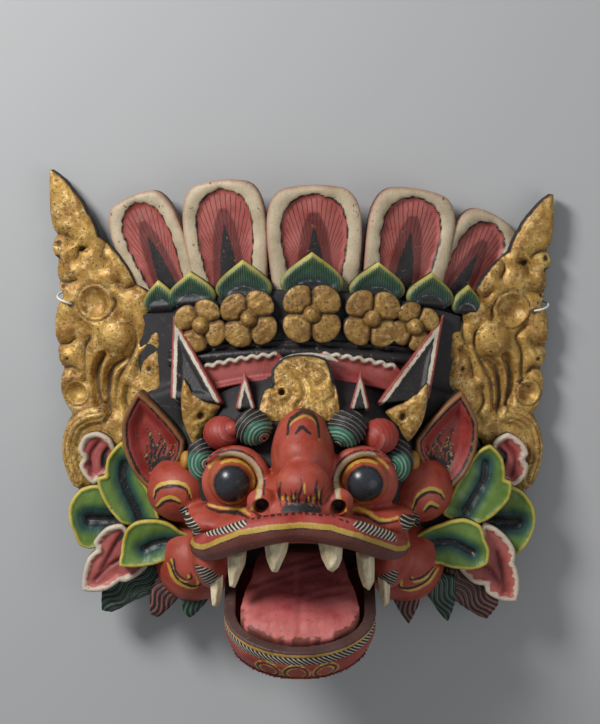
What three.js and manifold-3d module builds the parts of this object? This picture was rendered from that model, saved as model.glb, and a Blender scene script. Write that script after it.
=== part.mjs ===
// Barong mask: a carved, painted and gilded wooden mask with its crown, lying on its back, face up.
// Millimetres. +X is the viewer's right, +Y runs to the crest and +Z comes out of the face.
// The origin is at the middle of the back, on the surface that the mask lies on.
import * as THREE from "three";
import { mergeVertices } from "three/addons/utils/BufferGeometryUtils.js";
import Module from "manifold-3d";

const wasm = await Module();
wasm.setup();

// Head shell: half of an ellipsoid, hollow at the back.
const HEAD_HALF_WIDTH = 112;
const HEAD_HALF_HEIGHT = 104;
const HEAD_Y = -92;
const HEAD_DEPTH = 104;
const WALL = 12;
const FIT = 0.35;

// Crown: a convex block that carries the petals, sepals, rosettes and the forehead ornament.
const CROWN_HALF_WIDTH = 128;
const CROWN_FRONT = 52;
const CROWN_SWEEP = 0.0012;
const CROWN_BACK = 9;
const CROWN_TOP = 58;
const CROWN_LIFT = 86;
const PETAL_THICKNESS = 13;
const PETAL_RIM = 9;
const PETAL_DISH = 3;
const PETAL_SET_BACK = 10;
const PETAL_TUCK = 12;
const SEPAL_THICKNESS = 10;
const SEPAL_SET_BACK = 7;
const ROSETTE_RADIUS = 21;
const ROSETTE_HEIGHT = 9;
const ROSETTE_SET_BACK = 4;
const BUTTON_RADIUS = 5;
const MOULDING_RADIUS = 4.5;
const GUM_HEIGHT = 12;
const GUM_HALF_WIDTH = 76;
const GUM_GAP = 14;
const GUM_THICKNESS = 14;
const PLAQUE_HALF_WIDTH = 30;
const PLAQUE_HEIGHT = 42;
const PLAQUE_THICKNESS = 30;
const PLAQUE_LEAN = -0.35;
const HORN_THICKNESS = 28;
const SPIKE_THICKNESS = 24;
const CORNER_LEAF_THICKNESS = 26;
const BROW_LEAN = -0.3;

// Side wings: boards turned a little outwards, with bosses and stems on the front.
const WING_WIDTH = 90;
const WING_TIP = 151;
const WING_REACH = 68;
const WING_THICKNESS = 13;
const WING_CLEAR = 6;
const WING_TURN = 0.2;
const BOSS_RADIUS = 13;
const BOSS_HEIGHT = 9;
const STEM_RADIUS = 4;
const CORD_HOLE_RADIUS = 3;

// Face.
const EYE_RADIUS = 23;
const EYE_X = 51;
const EYE_Y = -86;
const NOSE_RADIUS = 20;
const NOSTRIL_RADIUS = 4;
const LIP_HALF_HEIGHT = 13;
const LIP_DEPTH = 11;
const LIP_FRONT = 179;
const MOUTH_HALF_WIDTH = 52;
const MOUTH_SPRING = -152;
const MOUTH_RISE = 31;
const CURL_RADIUS = 12;
const EAR_THICKNESS = 20;
const EAR_BOWL = 6;
const EAR_TURN = 0.12;
const LEAF_THICKNESS = 12;
const TUFT_THICKNESS = 14;
const SIDE_BOARD_THICKNESS = 30;
const NOSTRIL_DEPTH = 9;

// Lower jaw with its tongue.
const JAW_HALF_WIDTH = 58;
const JAW_LENGTH = 118;
const JAW_HEIGHT = 30;
const JAW_WALL = 9;
const JAW_OPEN = 0.46;
const JAW_REAR = [0, -150, 60];
const TONGUE_GAP = 5;
const TONGUE_RISE = 3;

// Teeth and cord.
const FANG_WIDTH = 19;
const FANG_LENGTH = 27;
const CANINE_WIDTH = 14;
const CANINE_LENGTH = 29;
const TUSK_WIDTH = 10;
const TUSK_LENGTH = 30;
const CORD_RADIUS = 0.8;
const CORD_STEPS = 52;

// Welding distance, and the volume under which a loose shell is waste.
const WELD = 0.01;
const CRUMB = 1;

// Solids: a geometry becomes a solid, and a solid becomes a geometry again.
function solid(geometry, weld = 1e-3) {
  const bare = geometry.clone();
  bare.deleteAttribute("normal");
  bare.deleteAttribute("uv");
  const merged = mergeVertices(bare, weld);
  const index = merged.index.array;
  const kept = [];
  for (let i = 0; i < index.length; i += 3) {
    const [a, b, c] = [index[i], index[i + 1], index[i + 2]];
    if (a !== b && b !== c && c !== a) kept.push(a, b, c);
  }
  return new wasm.Manifold(new wasm.Mesh({
    numProp: 3,
    vertProperties: new Float32Array(merged.attributes.position.array),
    triVerts: new Uint32Array(kept),
  }));
}

function geometryOf(body) {
  const { vertProperties, triVerts } = body.getMesh();
  const geometry = new THREE.BufferGeometry();
  geometry.setAttribute("position", new THREE.BufferAttribute(vertProperties, 3));
  geometry.setIndex(new THREE.BufferAttribute(triVerts, 1));
  return geometry;
}

// Points closer than the weld are one point. Pockets shut in between overlapping carvings are solid
// wood, and crumbs that a cut leaves are waste, so both are dropped.
function cleaned(body) {
  const shells = solid(geometryOf(body), WELD).decompose();
  return wasm.Manifold.compose(shells.filter((shell) => shell.volume() > CRUMB));
}

function union(parts) {
  return parts.reduce((whole, next) => whole.add(next));
}

function ellipsoid(centre, radii, around = 14) {
  const ball = new THREE.SphereGeometry(1, around, Math.round(around / 2));
  ball.rotateX(Math.PI / 2).scale(...radii).translate(...centre);
  return solid(ball);
}

// A board of the given outline, its back at z = 0, with its edges eased.
function board(shape, thickness, ease = 1.5, curve = 3) {
  const slab = new THREE.ExtrudeGeometry(shape, {
    depth: thickness - 2 * ease,
    bevelEnabled: ease > 0,
    bevelThickness: ease,
    bevelSize: ease,
    bevelOffset: -ease,
    bevelSegments: 1,
    curveSegments: curve,
  });
  return slab.translate(0, 0, ease);
}

// Places a geometry: turned in its own plane, leaned on X, then turned on Y, then moved.
function placed(geometry, at, { spin = 0, lean = 0, turn = 0 } = {}) {
  const pose = new THREE.Matrix4().makeTranslation(...at)
    .multiply(new THREE.Matrix4().makeRotationY(turn))
    .multiply(new THREE.Matrix4().makeRotationX(lean))
    .multiply(new THREE.Matrix4().makeRotationZ(spin));
  return solid(geometry.clone().applyMatrix4(pose));
}

function tube(points, halfWidth, halfDepth, steps = 12, sides = 8) {
  const section = new THREE.Shape();
  section.absellipse(0, 0, halfWidth, halfDepth, 0, Math.PI * 2);
  const path = new THREE.CatmullRomCurve3(points.map((p) => new THREE.Vector3(...p)));
  return solid(new THREE.ExtrudeGeometry(section, {
    steps,
    curveSegments: sides / 2,
    extrudePath: path,
    bevelEnabled: false,
  }));
}

// The front of the crown falls back towards both sides.
const crownFront = (x) => CROWN_FRONT - CROWN_SWEEP * x * x;
const crownTurn = (x) => Math.atan(2 * CROWN_SWEEP * x);

// Outlines.
function petalShape(width, height) {
  const shape = new THREE.Shape();
  const half = width / 2;
  const shoulder = 0.45 * half;
  shape.moveTo(-0.85 * half, 0);
  shape.bezierCurveTo(-half, 0.4 * height, -1.25 * half, 0.98 * height, -shoulder, height);
  shape.lineTo(shoulder, height);
  shape.bezierCurveTo(1.25 * half, 0.98 * height, half, 0.4 * height, 0.85 * half, 0);
  shape.closePath();
  return shape;
}

function pointedShape(width, height, bend = 0) {
  const shape = new THREE.Shape();
  const half = width / 2;
  shape.moveTo(-0.55 * half, 0);
  shape.bezierCurveTo(-1.35 * half, 0.35 * height, -0.35 * half + bend, 0.75 * height, bend, height);
  shape.bezierCurveTo(0.35 * half + bend, 0.75 * height, 1.35 * half, 0.35 * height, 0.55 * half, 0);
  shape.closePath();
  return shape;
}

// An outline of lobes: between two points the edge swells outwards by a share of its length.
function lobedShape(points, swell) {
  const shape = new THREE.Shape();
  shape.moveTo(...points[0]);
  points.forEach(([x, y], i) => {
    const [nextX, nextY] = points[(i + 1) % points.length];
    const [dx, dy] = [nextX - x, nextY - y];
    shape.quadraticCurveTo((x + nextX) / 2 + swell * dy, (y + nextY) / 2 - swell * dx, nextX, nextY);
  });
  return shape;
}

// Crown block: its plan is a crescent, and its front outline is an arch.
function crownBlock() {
  const plan = new THREE.Shape();
  const across = 14;
  plan.moveTo(-CROWN_HALF_WIDTH, CROWN_BACK);
  for (let i = 0; i <= across; i += 1) {
    const x = CROWN_HALF_WIDTH * (2 * i / across - 1);
    plan.lineTo(x, crownFront(x));
  }
  plan.lineTo(CROWN_HALF_WIDTH, CROWN_BACK);
  plan.closePath();
  const bar = new THREE.ExtrudeGeometry(plan, { depth: 2 * CROWN_LIFT, bevelEnabled: false });
  bar.rotateX(Math.PI / 2).translate(0, CROWN_LIFT, 0);
  const face = new THREE.Shape();
  face.moveTo(-CROWN_HALF_WIDTH, -CROWN_LIFT);
  face.lineTo(CROWN_HALF_WIDTH, -CROWN_LIFT);
  face.lineTo(CROWN_HALF_WIDTH + 2, 0.6 * CROWN_TOP);
  face.quadraticCurveTo(0.5 * CROWN_HALF_WIDTH, CROWN_TOP, 0, CROWN_TOP);
  face.quadraticCurveTo(-0.5 * CROWN_HALF_WIDTH, CROWN_TOP, -CROWN_HALF_WIDTH - 2, 0.6 * CROWN_TOP);
  face.closePath();
  return solid(bar).intersect(placed(board(face, CROWN_FRONT + 20, 0, 5), [0, 0, 0]));
}

// Each petal: the middle of its base, its width and height, and its lean in the fan.
const PETALS = [
  { x: -97, y: 58, width: 59, height: 78, spin: 0.4 },
  { x: -53, y: 62, width: 68, height: 80, spin: 0.09 },
  { x: 12, y: 62, width: 77, height: 76, spin: 0.02 },
  { x: 77, y: 58, width: 72, height: 78, spin: -0.16 },
  { x: 112, y: 47, width: 60, height: 77, spin: -0.52 },
];

function petal({ x, y, width, height, spin }) {
  const back = [x, y - PETAL_TUCK, crownFront(x) - PETAL_SET_BACK - PETAL_THICKNESS];
  const pose = { spin, turn: crownTurn(x) };
  const full = height + PETAL_TUCK;
  const outer = placed(board(petalShape(width, full), PETAL_THICKNESS, 2), back, pose);
  const field = board(petalShape(width - 2 * PETAL_RIM, full - PETAL_RIM), PETAL_THICKNESS, 0);
  field.translate(0, 0, PETAL_THICKNESS - PETAL_DISH);
  return outer.subtract(placed(field, back, pose));
}

// Each sepal: the middle of its base, its width and height, and its bend.
const SEPALS = [
  { x: -108, y: 40, width: 26, height: 25 },
  { x: -83, y: 44, width: 37, height: 28 },
  { x: -43, y: 49, width: 42, height: 33 },
  { x: 9, y: 53, width: 47, height: 35 },
  { x: 59, y: 49, width: 42, height: 31 },
  { x: 100, y: 43, width: 37, height: 28 },
  { x: 129, y: 37, width: 24, height: 24 },
];

function sepal({ x, y, width, height }) {
  const spin = -0.1 * x / CROWN_HALF_WIDTH;
  const blade = board(pointedShape(width * 1.25, height), SEPAL_THICKNESS, 2, 2);
  return placed(blade, [x, y, crownFront(x) - SEPAL_SET_BACK], { spin, turn: crownTurn(x) });
}

// Rosettes: middle and turn in the plane of the band.
const ROSETTES = [[-80, 29, 0.35], [-39, 36, 0.15], [9, 41, 0], [55, 36, -0.1], [92, 29, -0.4]];

function rosette([x, y, spin]) {
  const turn = crownTurn(x);
  const shape = new THREE.Shape();
  const notch = 0.5 * ROSETTE_RADIUS;
  const corner = (i, reach) => {
    const angle = i * Math.PI / 4;
    return [reach * Math.cos(angle), reach * Math.sin(angle)];
  };
  shape.moveTo(...corner(0, notch));
  for (let i = 0; i < 4; i += 1) {
    const start = corner(2 * i + 0.1, 1.5 * ROSETTE_RADIUS);
    const end = corner(2 * i + 1.9, 1.5 * ROSETTE_RADIUS);
    shape.bezierCurveTo(...start, ...end, ...corner(2 * i + 2, notch));
  }
  const at = [x, y, crownFront(x) - ROSETTE_SET_BACK];
  const flower = placed(board(shape, ROSETTE_HEIGHT + ROSETTE_SET_BACK, 3, 2), at, { spin, turn });
  const top = [x, y, crownFront(x) + ROSETTE_HEIGHT - 1];
  const button = ellipsoid(top, [BUTTON_RADIUS, BUTTON_RADIUS, 4], 8);
  return flower.add(button);
}

// Moulding under the band and the scalloped gum under it.
function archPoints(y, drop, half, lift, steps = 8) {
  const points = [];
  for (let i = 0; i <= steps; i += 1) {
    const x = half * (2 * i / steps - 1);
    points.push([x, y - drop * (x / half) ** 2, crownFront(x) + lift]);
  }
  return points;
}

// The gum hangs from the moulding and ends in scallops on both edges.
function gum() {
  const scallops = 7;
  const swell = 0.2;
  return union([-1, 1].map((side) => {
    const points = [];
    for (let i = 0; i <= scallops; i += 1) {
      const x = GUM_GAP + (GUM_HALF_WIDTH - GUM_GAP) * i / scallops;
      points.push([side * x, 9 - 12 * (x / GUM_HALF_WIDTH) ** 2]);
    }
    points.push([side * GUM_HALF_WIDTH, -GUM_HEIGHT - 4], [side * GUM_GAP, -GUM_HEIGHT]);
    if (side > 0) points.reverse();
    const shape = lobedShape(points, swell);
    return placed(board(shape, GUM_THICKNESS, 0, 1), [0, 0, CROWN_FRONT - 6], { turn: side * 0.12 });
  }));
}

function plaque() {
  const blank = board(petalShape(2 * PLAQUE_HALF_WIDTH, PLAQUE_HEIGHT), PLAQUE_THICKNESS, 3, 3);
  const leaned = placed(blank, [2, -40, CROWN_FRONT], { lean: PLAQUE_LEAN });
  return leaned.subtract(ellipsoid([-19, -25, CROWN_FRONT + 34], [3, 3, 12], 8));
}

function triangleShape(points) {
  const shape = new THREE.Shape();
  shape.moveTo(...points[0]);
  points.slice(1).forEach((point) => shape.lineTo(...point));
  shape.closePath();
  return shape;
}

// Horn-like flames, small spikes and gilded corner leaves above the eyes.
function brow(side) {
  const flare = side > 0 ? 14 : 0;
  const horn = triangleShape([[side * 4, 0], [side * 46, 3], [side * (48 + flare), 71]]);
  const spike = triangleShape([[-8, 0], [8, 0], [side * 1, 24]]);
  const corner = board(pointedShape(30, 56, side * 2), CORNER_LEAF_THICKNESS, 0);
  const tip = board(pointedShape(26, 34), CORNER_LEAF_THICKNESS - 8, 0);
  return union([
    placed(board(horn, HORN_THICKNESS, 0), [side * 51, -38, 42], { lean: BROW_LEAN, turn: side * 0.16 }),
    placed(board(spike, SPIKE_THICKNESS, 0), [side > 0 ? 46 : -42, -38, 60], { lean: BROW_LEAN }),
    placed(corner, [side * 81, -64, 42], { spin: side * -0.12, lean: -0.1, turn: side * 0.3 }),
    placed(tip, [side * 84, -46, 50], { spin: side * 0.9, turn: side * 0.2 }),
  ]);
}

// Side wings: their outline as distance in from the outer edge, in parts of the wing's width, and height.
const WING_PARTS = 90;
const WING_OUTLINE = [
  [0, WING_TIP], [0, 115], [4, 99], [1, 89], [6, 78], [5, 62], [10, 50], [4, 40], [4, 11], [8, -8], [7, -28],
  [16, -44], [9, -60], [8, -78], [14, -98], [24, -109], [40, -96], [62, -65], [90, -32], [90, 0], [90, 24],
  [79, 36], [80, 54], [68, 60], [58, 79], [44, 93], [38, 98], [29, 118], [19, 133],
];
const WING = {
  left: { reach: WING_REACH, share: 1, drop: 0 },
  right: { reach: WING_REACH + 3, share: 0.92, drop: 19 },
};

function wingHeight(y, place) {
  return y > 0 ? y * (1 - place.drop / WING_TIP) : y;
}

function wing(name, side) {
  const place = WING[name];
  const scale = place.share * WING_WIDTH / WING_PARTS;
  const inwards = -side;
  const local = (u, y) => [inwards * u * scale, wingHeight(y, place)];
  const outline = WING_OUTLINE.map(([u, y]) => local(u, y));
  if (side > 0) outline.reverse();
  const pose = { turn: side * WING_TURN };
  const at = [side * (CROWN_HALF_WIDTH + place.reach), 0, WING_CLEAR];
  const parts = [placed(board(lobedShape(outline, 0.12), WING_THICKNESS, 0, 1), at, pose)];
  const onFront = (u, y, z = 0) => [...local(u, y), WING_THICKNESS + z];
  const boss = (u, y, radius) => {
    const profile = [[0, -4], [radius, -4], [0.85 * radius, BOSS_HEIGHT], [0.5 * radius, BOSS_HEIGHT - 3],
      [0, BOSS_HEIGHT]];
    const dish = new THREE.LatheGeometry(profile.map((point) => new THREE.Vector2(...point)), 8);
    dish.rotateX(Math.PI / 2).translate(...onFront(u, y));
    return placed(dish, at, pose);
  };
  const stem = (points, radius) => {
    const path = new THREE.CatmullRomCurve3(points.map(([u, y]) => new THREE.Vector3(...onFront(u, y))));
    const section = new THREE.Shape();
    section.absellipse(0, 0, radius, radius, 0, Math.PI * 2);
    const rod = new THREE.ExtrudeGeometry(section, {
      steps: 5, curveSegments: 2, extrudePath: path, bevelEnabled: false,
    });
    return placed(rod, at, pose);
  };
  parts.push(boss(36, 46, 1.05 * BOSS_RADIUS));
  parts.push(boss(51, 22, 0.85 * BOSS_RADIUS));
  parts.push(boss(19, -28, 0.75 * BOSS_RADIUS));
  parts.push(stem([[52, 14], [62, -4], [48, -22], [36, -40]], STEM_RADIUS));
  parts.push(stem([[18, 100], [24, 78], [40, 60], [52, 62]], STEM_RADIUS));
  parts.push(stem([[74, 40], [80, 16], [68, -8], [60, -30]], STEM_RADIUS));
  const hoopPoints = [[32, -48], [14, -56], [12, -78], [20, -98]];
  parts.push(stem(hoopPoints, STEM_RADIUS));
  const hole = new THREE.CylinderGeometry(CORD_HOLE_RADIUS, CORD_HOLE_RADIUS, 4 * WING_THICKNESS, 8);
  hole.rotateX(Math.PI / 2).translate(...local(17, 44), 0);
  return union(parts).subtract(placed(hole, at, pose));
}

// Head shell and face.
function head() {
  return ellipsoid([0, HEAD_Y, 0], [HEAD_HALF_WIDTH, HEAD_HALF_HEIGHT, HEAD_DEPTH], 20);
}

function hollow() {
  const inner = [HEAD_HALF_WIDTH - WALL, HEAD_HALF_HEIGHT - WALL, HEAD_DEPTH - WALL];
  return ellipsoid([0, HEAD_Y, 0], inner, 18);
}

const LIP_LINE = [[-77, -139, 112], [-64, -129, 140], [-34, -112, 168], [0, -106, LIP_FRONT - LIP_DEPTH],
  [34, -112, 168], [64, -129, 140], [77, -139, 112]];

function snout() {
  const parts = [
    ellipsoid([0, -102, 88], [74, 32, 82], 14),
    tube(LIP_LINE, LIP_DEPTH, LIP_HALF_HEIGHT, 10, 8),
    ellipsoid([2, -60, 96], [27, 40, 44], 10),
    ellipsoid([2, -78, 146], [NOSE_RADIUS, 0.85 * NOSE_RADIUS, NOSE_RADIUS], 10),
  ];
  [-1, 1].forEach((side) => {
    parts.push(ellipsoid([1 + side * 27, -90, 146], [12, 10, 12], 8));
    parts.push(ellipsoid([side * 69, -142, 74], [17, 30, 52], 10));
  });
  const bores = [-1, 1].map((side) => {
    const bore = [NOSTRIL_RADIUS, NOSTRIL_RADIUS, NOSTRIL_DEPTH];
    return ellipsoid([1 + side * 27, -93, 158], bore, 8);
  });
  return union(parts).subtract(union(bores));
}

// Cheeks, eyes and curls sit on the head at shares of its depth.
function cheeks(side) {
  return union([
    ellipsoid([side * 94, -100, 0.44 * HEAD_DEPTH], [28, 27, 0.29 * HEAD_DEPTH], 10),
    ellipsoid([side * 84, -160, 0.35 * HEAD_DEPTH], [32, 34, 0.365 * HEAD_DEPTH], 10),
    ellipsoid([side * EYE_X, EYE_Y, 0.885 * HEAD_DEPTH], [EYE_RADIUS + 7, EYE_RADIUS + 5, 16], 10),
    ellipsoid([side * EYE_X, EYE_Y, 0.93 * HEAD_DEPTH], [EYE_RADIUS, EYE_RADIUS, EYE_RADIUS], 10),
  ]);
}

function curls(side) {
  const curl = (x, y, z, swell) => ellipsoid([side * x, y, z], swell.map((part) => part * CURL_RADIUS), 8);
  return union([
    curl(36, -45, 0.92 * HEAD_DEPTH, [1, 1, 1]),
    curl(60, -50, 0.845 * HEAD_DEPTH, [1.15, 1.1, 1.2]),
    curl(76, -71, 0.79 * HEAD_DEPTH, [0.9, 1.3, 1]),
  ]);
}

// Ears: a pointed blade with a shallow bowl.
const EAR_OUTLINE = [[-21, 75], [-34, 50], [-33, 28], [-24, 8], [-14, -2], [-4, -2], [14, 24], [16, 36],
  [-2, 58]];

function ear(side) {
  const outline = EAR_OUTLINE.map(([x, y]) => [-side * x, y]);
  if (side > 0) outline.reverse();
  const inner = outline.map(([x, y]) => [side * 9 + (x - side * 9) * 0.62, 32 + (y - 32) * 0.66]);
  const at = [side * 104, -96, 40];
  const pose = { turn: side * EAR_TURN };
  const sag = -0.08;
  const blade = placed(board(lobedShape(outline, sag), EAR_THICKNESS, 2, 2), at, pose);
  const bowl = board(lobedShape(inner, sag), EAR_THICKNESS, 0, 1).translate(0, 0, EAR_THICKNESS - EAR_BOWL);
  return blade.subtract(placed(bowl, at, pose));
}

// Leaves and hair tufts beside the jaw: outlines of the right side, and the height of their backs.
const LEAVES = [
  { z: 42, outline: [[140, -62], [134, -70], [126, -92], [121, -98], [117, -108], [110, -126], [120, -131],
    [141, -126], [157, -106], [160, -92], [154, -90], [152, -75]] },
  { z: 28, outline: [[150, -98], [140, -110], [140, -130], [158, -150], [168, -152], [176, -145],
    [184, -127], [180, -108], [166, -98]] },
  { z: 50, outline: [[136, -126], [122, -122], [105, -124], [88, -134], [80, -142], [80, -152], [95, -153],
    [110, -160], [125, -157], [143, -160], [143, -150], [137, -138]] },
  { z: 38, outline: [[139, -128], [118, -145], [122, -163], [138, -171], [142, -173], [156, -181],
    [174, -183], [172, -160], [166, -152], [168, -147], [160, -138]] },
  { z: 26, outline: [[152, -62], [146, -80], [152, -96], [163, -99], [172, -94], [175, -84], [172, -78],
    [174, -74], [171, -62], [160, -58]] },
];
const TUFTS = [
  { z: 24, outline: [[140, -168], [112, -165], [104, -174], [112, -182], [128, -194], [146, -205],
    [159, -203], [159, -184]] },
  { z: 34, outline: [[113, -172], [100, -168], [94, -180], [97, -190], [112, -205], [119, -201]] },
  { z: 40, outline: [[94, -176], [80, -176], [73, -190], [87, -203], [93, -199]] },
];

function leaf({ z, outline }, side, thickness, swell, curve = 1) {
  const points = outline.map(([x, y]) => [side * x, y]);
  if (side > 0) points.reverse();
  return placed(board(lobedShape(points, swell), thickness, 0, curve), [0, 0, z]);
}

function sideBoard(side) {
  const outline = [[92, -158], [146, -150], [150, -90], [132, -30], [92, -16]].map(([x, y]) => [side * x, y]);
  if (side < 0) outline.reverse();
  return placed(board(triangleShape(outline), SIDE_BOARD_THICKNESS, 0), [0, 0, 18]);
}

// Jaw: its plan is a U that runs forwards along the jaw, and the jaw opens away from the crown.
function jawShape(halfWidth, length) {
  const shape = new THREE.Shape();
  shape.moveTo(-halfWidth, 0);
  shape.lineTo(halfWidth, 0);
  shape.lineTo(halfWidth, length - halfWidth);
  shape.absellipse(0, length - 0.85 * halfWidth, halfWidth, 0.85 * halfWidth, 0, Math.PI);
  shape.closePath();
  return shape;
}

// In the jaw's own frame x is across, y runs forwards and z is down, before it is leaned open.
function jawPlaced(geometry) {
  return placed(geometry, JAW_REAR, { lean: Math.PI / 2 + JAW_OPEN });
}

// Blank and tongue, grown by a clearance: the jaw is made from them, and so is its seat in the mask.
function jawBlank(clearance) {
  const shape = jawShape(JAW_HALF_WIDTH + clearance, JAW_LENGTH + 2 * clearance);
  const blank = board(shape, JAW_HEIGHT + 2 * clearance, 6, 6);
  return jawPlaced(blank.translate(0, -clearance, -clearance));
}

function tongue(clearance) {
  const inset = JAW_WALL + TONGUE_GAP;
  const shape = jawShape(JAW_HALF_WIDTH - inset + clearance, JAW_LENGTH - inset + 2 * clearance);
  const thickness = JAW_HEIGHT - JAW_WALL + TONGUE_RISE + 2 * clearance;
  return jawPlaced(board(shape, thickness, 3, 6).translate(0, -clearance, -TONGUE_RISE - clearance));
}

function lowerJaw() {
  const scoopShape = jawShape(JAW_HALF_WIDTH - JAW_WALL, JAW_LENGTH - JAW_WALL);
  const scoop = board(scoopShape, JAW_HEIGHT, 3, 6).translate(0, 0, -1.5 * JAW_WALL);
  return jawBlank(0).subtract(jawPlaced(scoop)).add(tongue(0));
}

// Mouth: an arch that runs from the lips into the hollow head.
function mouth() {
  const arch = new THREE.Shape();
  arch.moveTo(-MOUTH_HALF_WIDTH, MOUTH_SPRING);
  arch.lineTo(-MOUTH_HALF_WIDTH, MOUTH_SPRING - 70);
  arch.lineTo(MOUTH_HALF_WIDTH, MOUTH_SPRING - 70);
  arch.lineTo(MOUTH_HALF_WIDTH, MOUTH_SPRING);
  arch.absellipse(0, MOUTH_SPRING, MOUTH_HALF_WIDTH, MOUTH_RISE, 0, Math.PI);
  return placed(board(arch, LIP_FRONT, 0, 8), [0, 0, 60]);
}

// Teeth: round-sided cones, cut flat on top and seated in the roof of the mouth.
const TEETH = [
  { name: "fang_left", x: -17, y: -115, z: 160, width: FANG_WIDTH, length: FANG_LENGTH },
  { name: "fang_right", x: 22, y: -115, z: 160, width: FANG_WIDTH, length: FANG_LENGTH },
  { name: "canine_left", x: -47, y: -130, z: 138, width: CANINE_WIDTH, length: CANINE_LENGTH },
  { name: "canine_right", x: 48, y: -132, z: 138, width: CANINE_WIDTH, length: CANINE_LENGTH },
  { name: "tusk_left", x: -65, y: -151, z: 108, width: TUSK_WIDTH, length: TUSK_LENGTH },
  { name: "tusk_right", x: 65, y: -151, z: 108, width: TUSK_WIDTH, length: TUSK_LENGTH },
];

function tooth({ x, y, z, width, length }, clearance = 0) {
  const half = width / 2 + clearance;
  const long = length + 2 * clearance;
  const profile = [[0, 0], [half, 0], [0.96 * half, 0.35 * long], [0.62 * half, 0.75 * long], [0, long]];
  const cone = new THREE.LatheGeometry(profile.map((point) => new THREE.Vector2(...point)), 8);
  cone.scale(1, -1, 0.8);
  cone.index.array.reverse();
  return placed(cone, [x, y + clearance, z], { lean: 0.1 });
}

function maskSolid() {
  const parts = [head(), crownBlock(), snout(), gum(), plaque()];
  PETALS.forEach((row) => parts.push(petal(row)));
  SEPALS.forEach((row) => parts.push(sepal(row)));
  ROSETTES.forEach((row) => parts.push(rosette(row)));
  parts.push(tube(archPoints(9, 9, 104, 1), MOULDING_RADIUS, MOULDING_RADIUS, 12, 6));
  [["left", -1], ["right", 1]].forEach(([name, side]) => {
    parts.push(wing(name, side), brow(side), cheeks(side), curls(side), ear(side), sideBoard(side));
    LEAVES.forEach((row) => parts.push(leaf(row, side, LEAF_THICKNESS, 0.1)));
    TUFTS.forEach((row) => parts.push(leaf(row, side, TUFT_THICKNESS, 0.05)));
  });
  const below = new THREE.BoxGeometry(6 * HEAD_DEPTH, 6 * HEAD_DEPTH, 2 * HEAD_DEPTH);
  const cuts = [hollow(), mouth(), jawBlank(FIT), tongue(FIT), ...TEETH.map((row) => tooth(row, FIT))];
  cuts.push(solid(below.translate(0, 0, -HEAD_DEPTH)));
  return cleaned(cuts.reduce((carved, cut) => carved.subtract(cut), union(parts)));
}

// The string leaves the bore in each wing at the front, passes over the wing's outer edge and lies
// behind the crown on the surface that the mask rests on.
const CORD_LIES = CORD_RADIUS + 0.2;
const CORD_ROUTE = [
  [-180, 44, 14], [-181.4, 44.1, 19], [-183, 44.8, 23.4], [-186.8, 46.4, 25.6], [-191, 48, 23.4],
  [-193.4, 49.4, 18], [-193.8, 50.6, 12], [-192.2, 52, 7], [-187.6, 54, 3], [-180, 57, 1],
  [-168, 61, CORD_LIES], [-150, 66, CORD_LIES], [-120, 71, CORD_LIES], [-90, 73, CORD_LIES],
  [-60, 71, CORD_LIES], [-30, 67, CORD_LIES], [0, 65, CORD_LIES], [30, 66, CORD_LIES],
  [60, 69, CORD_LIES], [90, 71, CORD_LIES], [120, 68, CORD_LIES], [150, 60, CORD_LIES],
  [172, 52, CORD_LIES], [185, 47.5, 1],
  [192.4, 45.6, 3], [196.8, 44.6, 7], [198.6, 43.6, 12], [198.2, 42.6, 18], [195.6, 41.4, 23.4],
  [191.4, 40.2, 25.6], [187.6, 39.2, 23.4], [186.2, 38.6, 19], [184.8, 38.5, 14],
];

function hangingCord() {
  return tube(CORD_ROUTE, CORD_RADIUS, CORD_RADIUS, CORD_STEPS, 8);
}

function material(colour, roughness, metalness = 0) {
  return new THREE.MeshStandardMaterial({ color: colour, roughness, metalness });
}

const PAINT = material("#a5473a", 0.55);
const JAW_PAINT = material("#a04038", 0.55);
const BONE = material("#cfc3a0", 0.6);
const STRING = material("#e6e1d6", 0.8);

const pieces = [["mask", maskSolid(), PAINT], ["lower_jaw", lowerJaw(), JAW_PAINT]];
TEETH.forEach((row) => pieces.push([row.name, tooth(row), BONE]));
pieces.push(["hanging_cord", hangingCord(), STRING]);

const object = new THREE.Group();
pieces.forEach(([name, body, finish]) => {
  const geometry = geometryOf(body);
  geometry.computeVertexNormals();
  const mesh = new THREE.Mesh(geometry, finish);
  mesh.name = name;
  object.add(mesh);
});

const box = new THREE.Box3().setFromObject(object);
const middle = box.getCenter(new THREE.Vector3());
object.position.set(-middle.x, -middle.y, -box.min.z);
export default object;
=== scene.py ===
# %% [markdown]
# Barong mask, dressed over its fixed frame
#
# The real object is carved from light wood, painted by hand and gilded in places. The frame gives the
# solids at their true size and place. This script makes the carved and painted surface of each part,
# sets it where the frame says, and lights it plainly.

# %% Load the frame
import math

import bmesh
import bpy
import numpy as np
from mathutils import Matrix, Vector


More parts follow.
